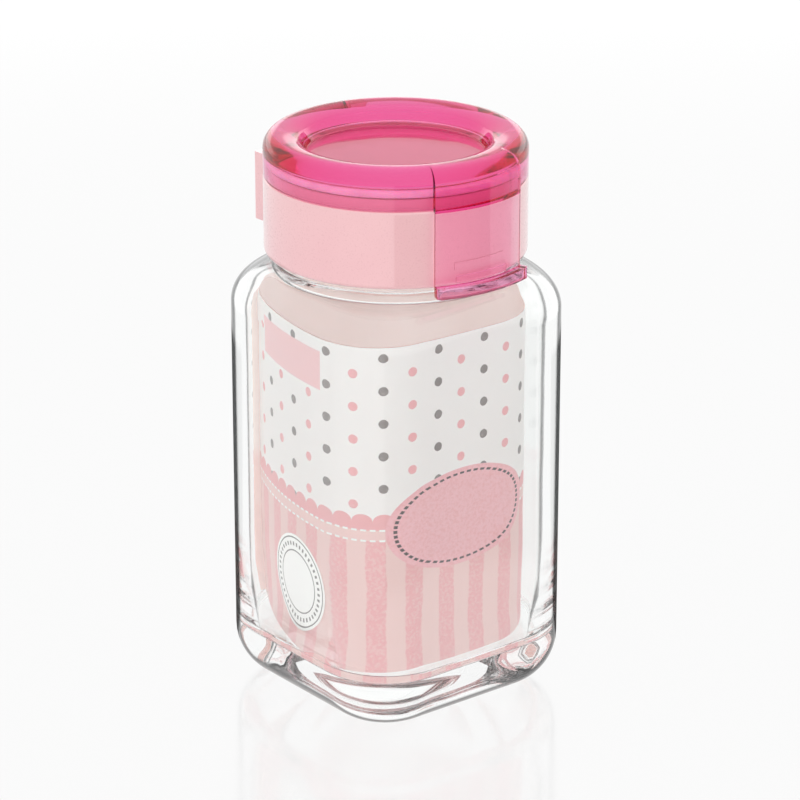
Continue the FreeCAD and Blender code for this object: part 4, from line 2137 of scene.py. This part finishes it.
@dataclass(frozen=True)
class Studio:
    """A white tent: light panels all round, light from overhead and a pale floor.

    The panels are given as (degrees from the camera, strength) steps, to the right of the camera
    from 0 to 180 and to its left from 0 to -180. Glossy surfaces mirror plain white, with a
    brighter strip of horizon behind the object.
    """

    camera: Camera
    panels: tuple[tuple[float, float], ...] = (
        (-180.0, 1.05), (-112.0, 0.3), (-80.0, 1.65), (-22.0, 1.0),
        (14.0, 1.25), (80.0, 0.3), (112.0, 1.05))
    overhead: float = 1.2
    overhead_from: float = 0.55
    overhead_full: float = 0.75
    horizon: float = 0.9
    horizon_turn: float = 0.36
    horizon_turn_soft: float = 0.02
    horizon_top: float = 0.25
    horizon_top_soft: float = 0.03
    floor_half: float = 4000.0

    def build(self, floor_finish: Material) -> None:
        """Sets the world and lays the floor.

        Args:
            floor_finish: The floor's material.
        """
        self._world()
        bm = bmesh.new()
        bmesh.ops.create_grid(bm, x_segments=2, y_segments=2, size=self.floor_half)
        linked_object("studio_floor", bm, [floor_finish])

    def _panel_light(self, tree: NodeTree, turn: Signal) -> Signal:
        """The panels' light.

        Args:
            tree: The world's tree.
            turn: Bearing from the camera in turns, 0.5 towards it.

        Returns:
            The strength at that bearing.
        """
        node = tree.nodes.new("ShaderNodeValToRGB")
        ramp = node.color_ramp
        ramp.interpolation = "CONSTANT"
        while len(ramp.elements) < len(self.panels):
            ramp.elements.new(1.0)
        for element, (degrees, strength) in zip(ramp.elements, self.panels):
            element.position = degrees / 360.0 + 0.5
            element.color = (strength, strength, strength, 1.0)
        tree.links.new(turn.socket, node.inputs["Fac"])
        return Signal(tree, node.outputs["Color"])

    def _world(self) -> None:
        """Builds the tent as a world that the camera itself sees as plain white."""
        world = bpy.data.worlds.new("studio")
        world.use_nodes = True
        tree = world.node_tree
        tree.nodes.clear()
        coordinates = tree.nodes.new("ShaderNodeTexCoord")
        x, y, height = axes(tree, coordinates.outputs["Generated"])
        toward = x * self.camera.toward.x + y * self.camera.toward.y
        right = x * self.camera.right.x + y * self.camera.right.y
        turn = right.apply("ARCTAN2", toward) / FULL_TURN + 0.5
        sides = self._panel_light(tree, turn)
        above = height.span(self.overhead_from, self.overhead_full)
        light = sides + (sides * -1.0 + self.overhead) * above
        behind = abs(turn - 0.5).above(self.horizon_turn, self.horizon_turn_soft)
        strip = behind * height.within(0.0, self.horizon_top, self.horizon_top_soft)
        tent = white_light(tree, light)
        plain = white_light(tree, strip * mirrored_only(tree) * self.horizon + 1.0)
        output = tree.nodes.new("ShaderNodeOutputWorld")
        seen = blended(tree, tent, plain, seen_directly(tree))
        tree.links.new(seen, output.inputs["Surface"])
        bpy.context.scene.world = world


def deepen_light_paths(scene: bpy.types.Scene) -> None:
    """Lets light cross and bounce inside the clear pieces until it comes out again.

    Args:
        scene: The scene.
    """
    scene.cycles.max_bounces = CLEAR_BOUNCES
    scene.cycles.glossy_bounces = CLEAR_BOUNCES
    scene.cycles.transmission_bounces = CLEAR_BOUNCES
    scene.cycles.transparent_max_bounces = CLEAR_BOUNCES


def dress_pin() -> None:
    """Gives the hinge pin, which keeps its CAD shape, its steel."""
    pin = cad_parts["hinge_pin"]
    pin.data.materials.clear()
    pin.data.materials.append(Steel().material())


def main() -> None:
    """Builds every piece, the studio and the camera, and logs each piece's face count."""
    logging.basicConfig(level=logging.INFO, format="%(name)s: %(message)s")
    bpy.context.scene.view_settings.view_transform = "Standard"
    deepen_light_paths(bpy.context.scene)
    GlassJar().build(Glass().material())
    card = CardSleeve()
    card.build(CardPrint(card.width, card.height).material(), PlainCard(card.height).material())
    Sticker(card).build(StickerPrint().material())
    liner = Silicone(Slot.LINER, srgb(240, 238, 232), srgb(226, 224, 218))
    RimGasket().build(liner.material())
    satin = MouldedPlastic(Slot.COLLAR, srgb(233, 184, 187), srgb(231, 180, 184))
    ScrewCollar().build(satin.material())
    matt = MouldedPlastic(
        Slot.SIFTER, srgb(240, 192, 195), srgb(237, 186, 190), roughness=0.35, coat=0.1)
    SifterInsert().build(matt.material())
    FlipLid().build(TintedPlastic().material())
    milky = Silicone(Slot.SILICONE, srgb(246, 240, 240), srgb(234, 226, 226))
    LidSeal().build(milky.material())
    dress_pin()
    camera = Camera()
    camera.build()
    Studio(camera).build(StudioFloor(camera.toward).material())


if __name__ == "__main__":
    main()
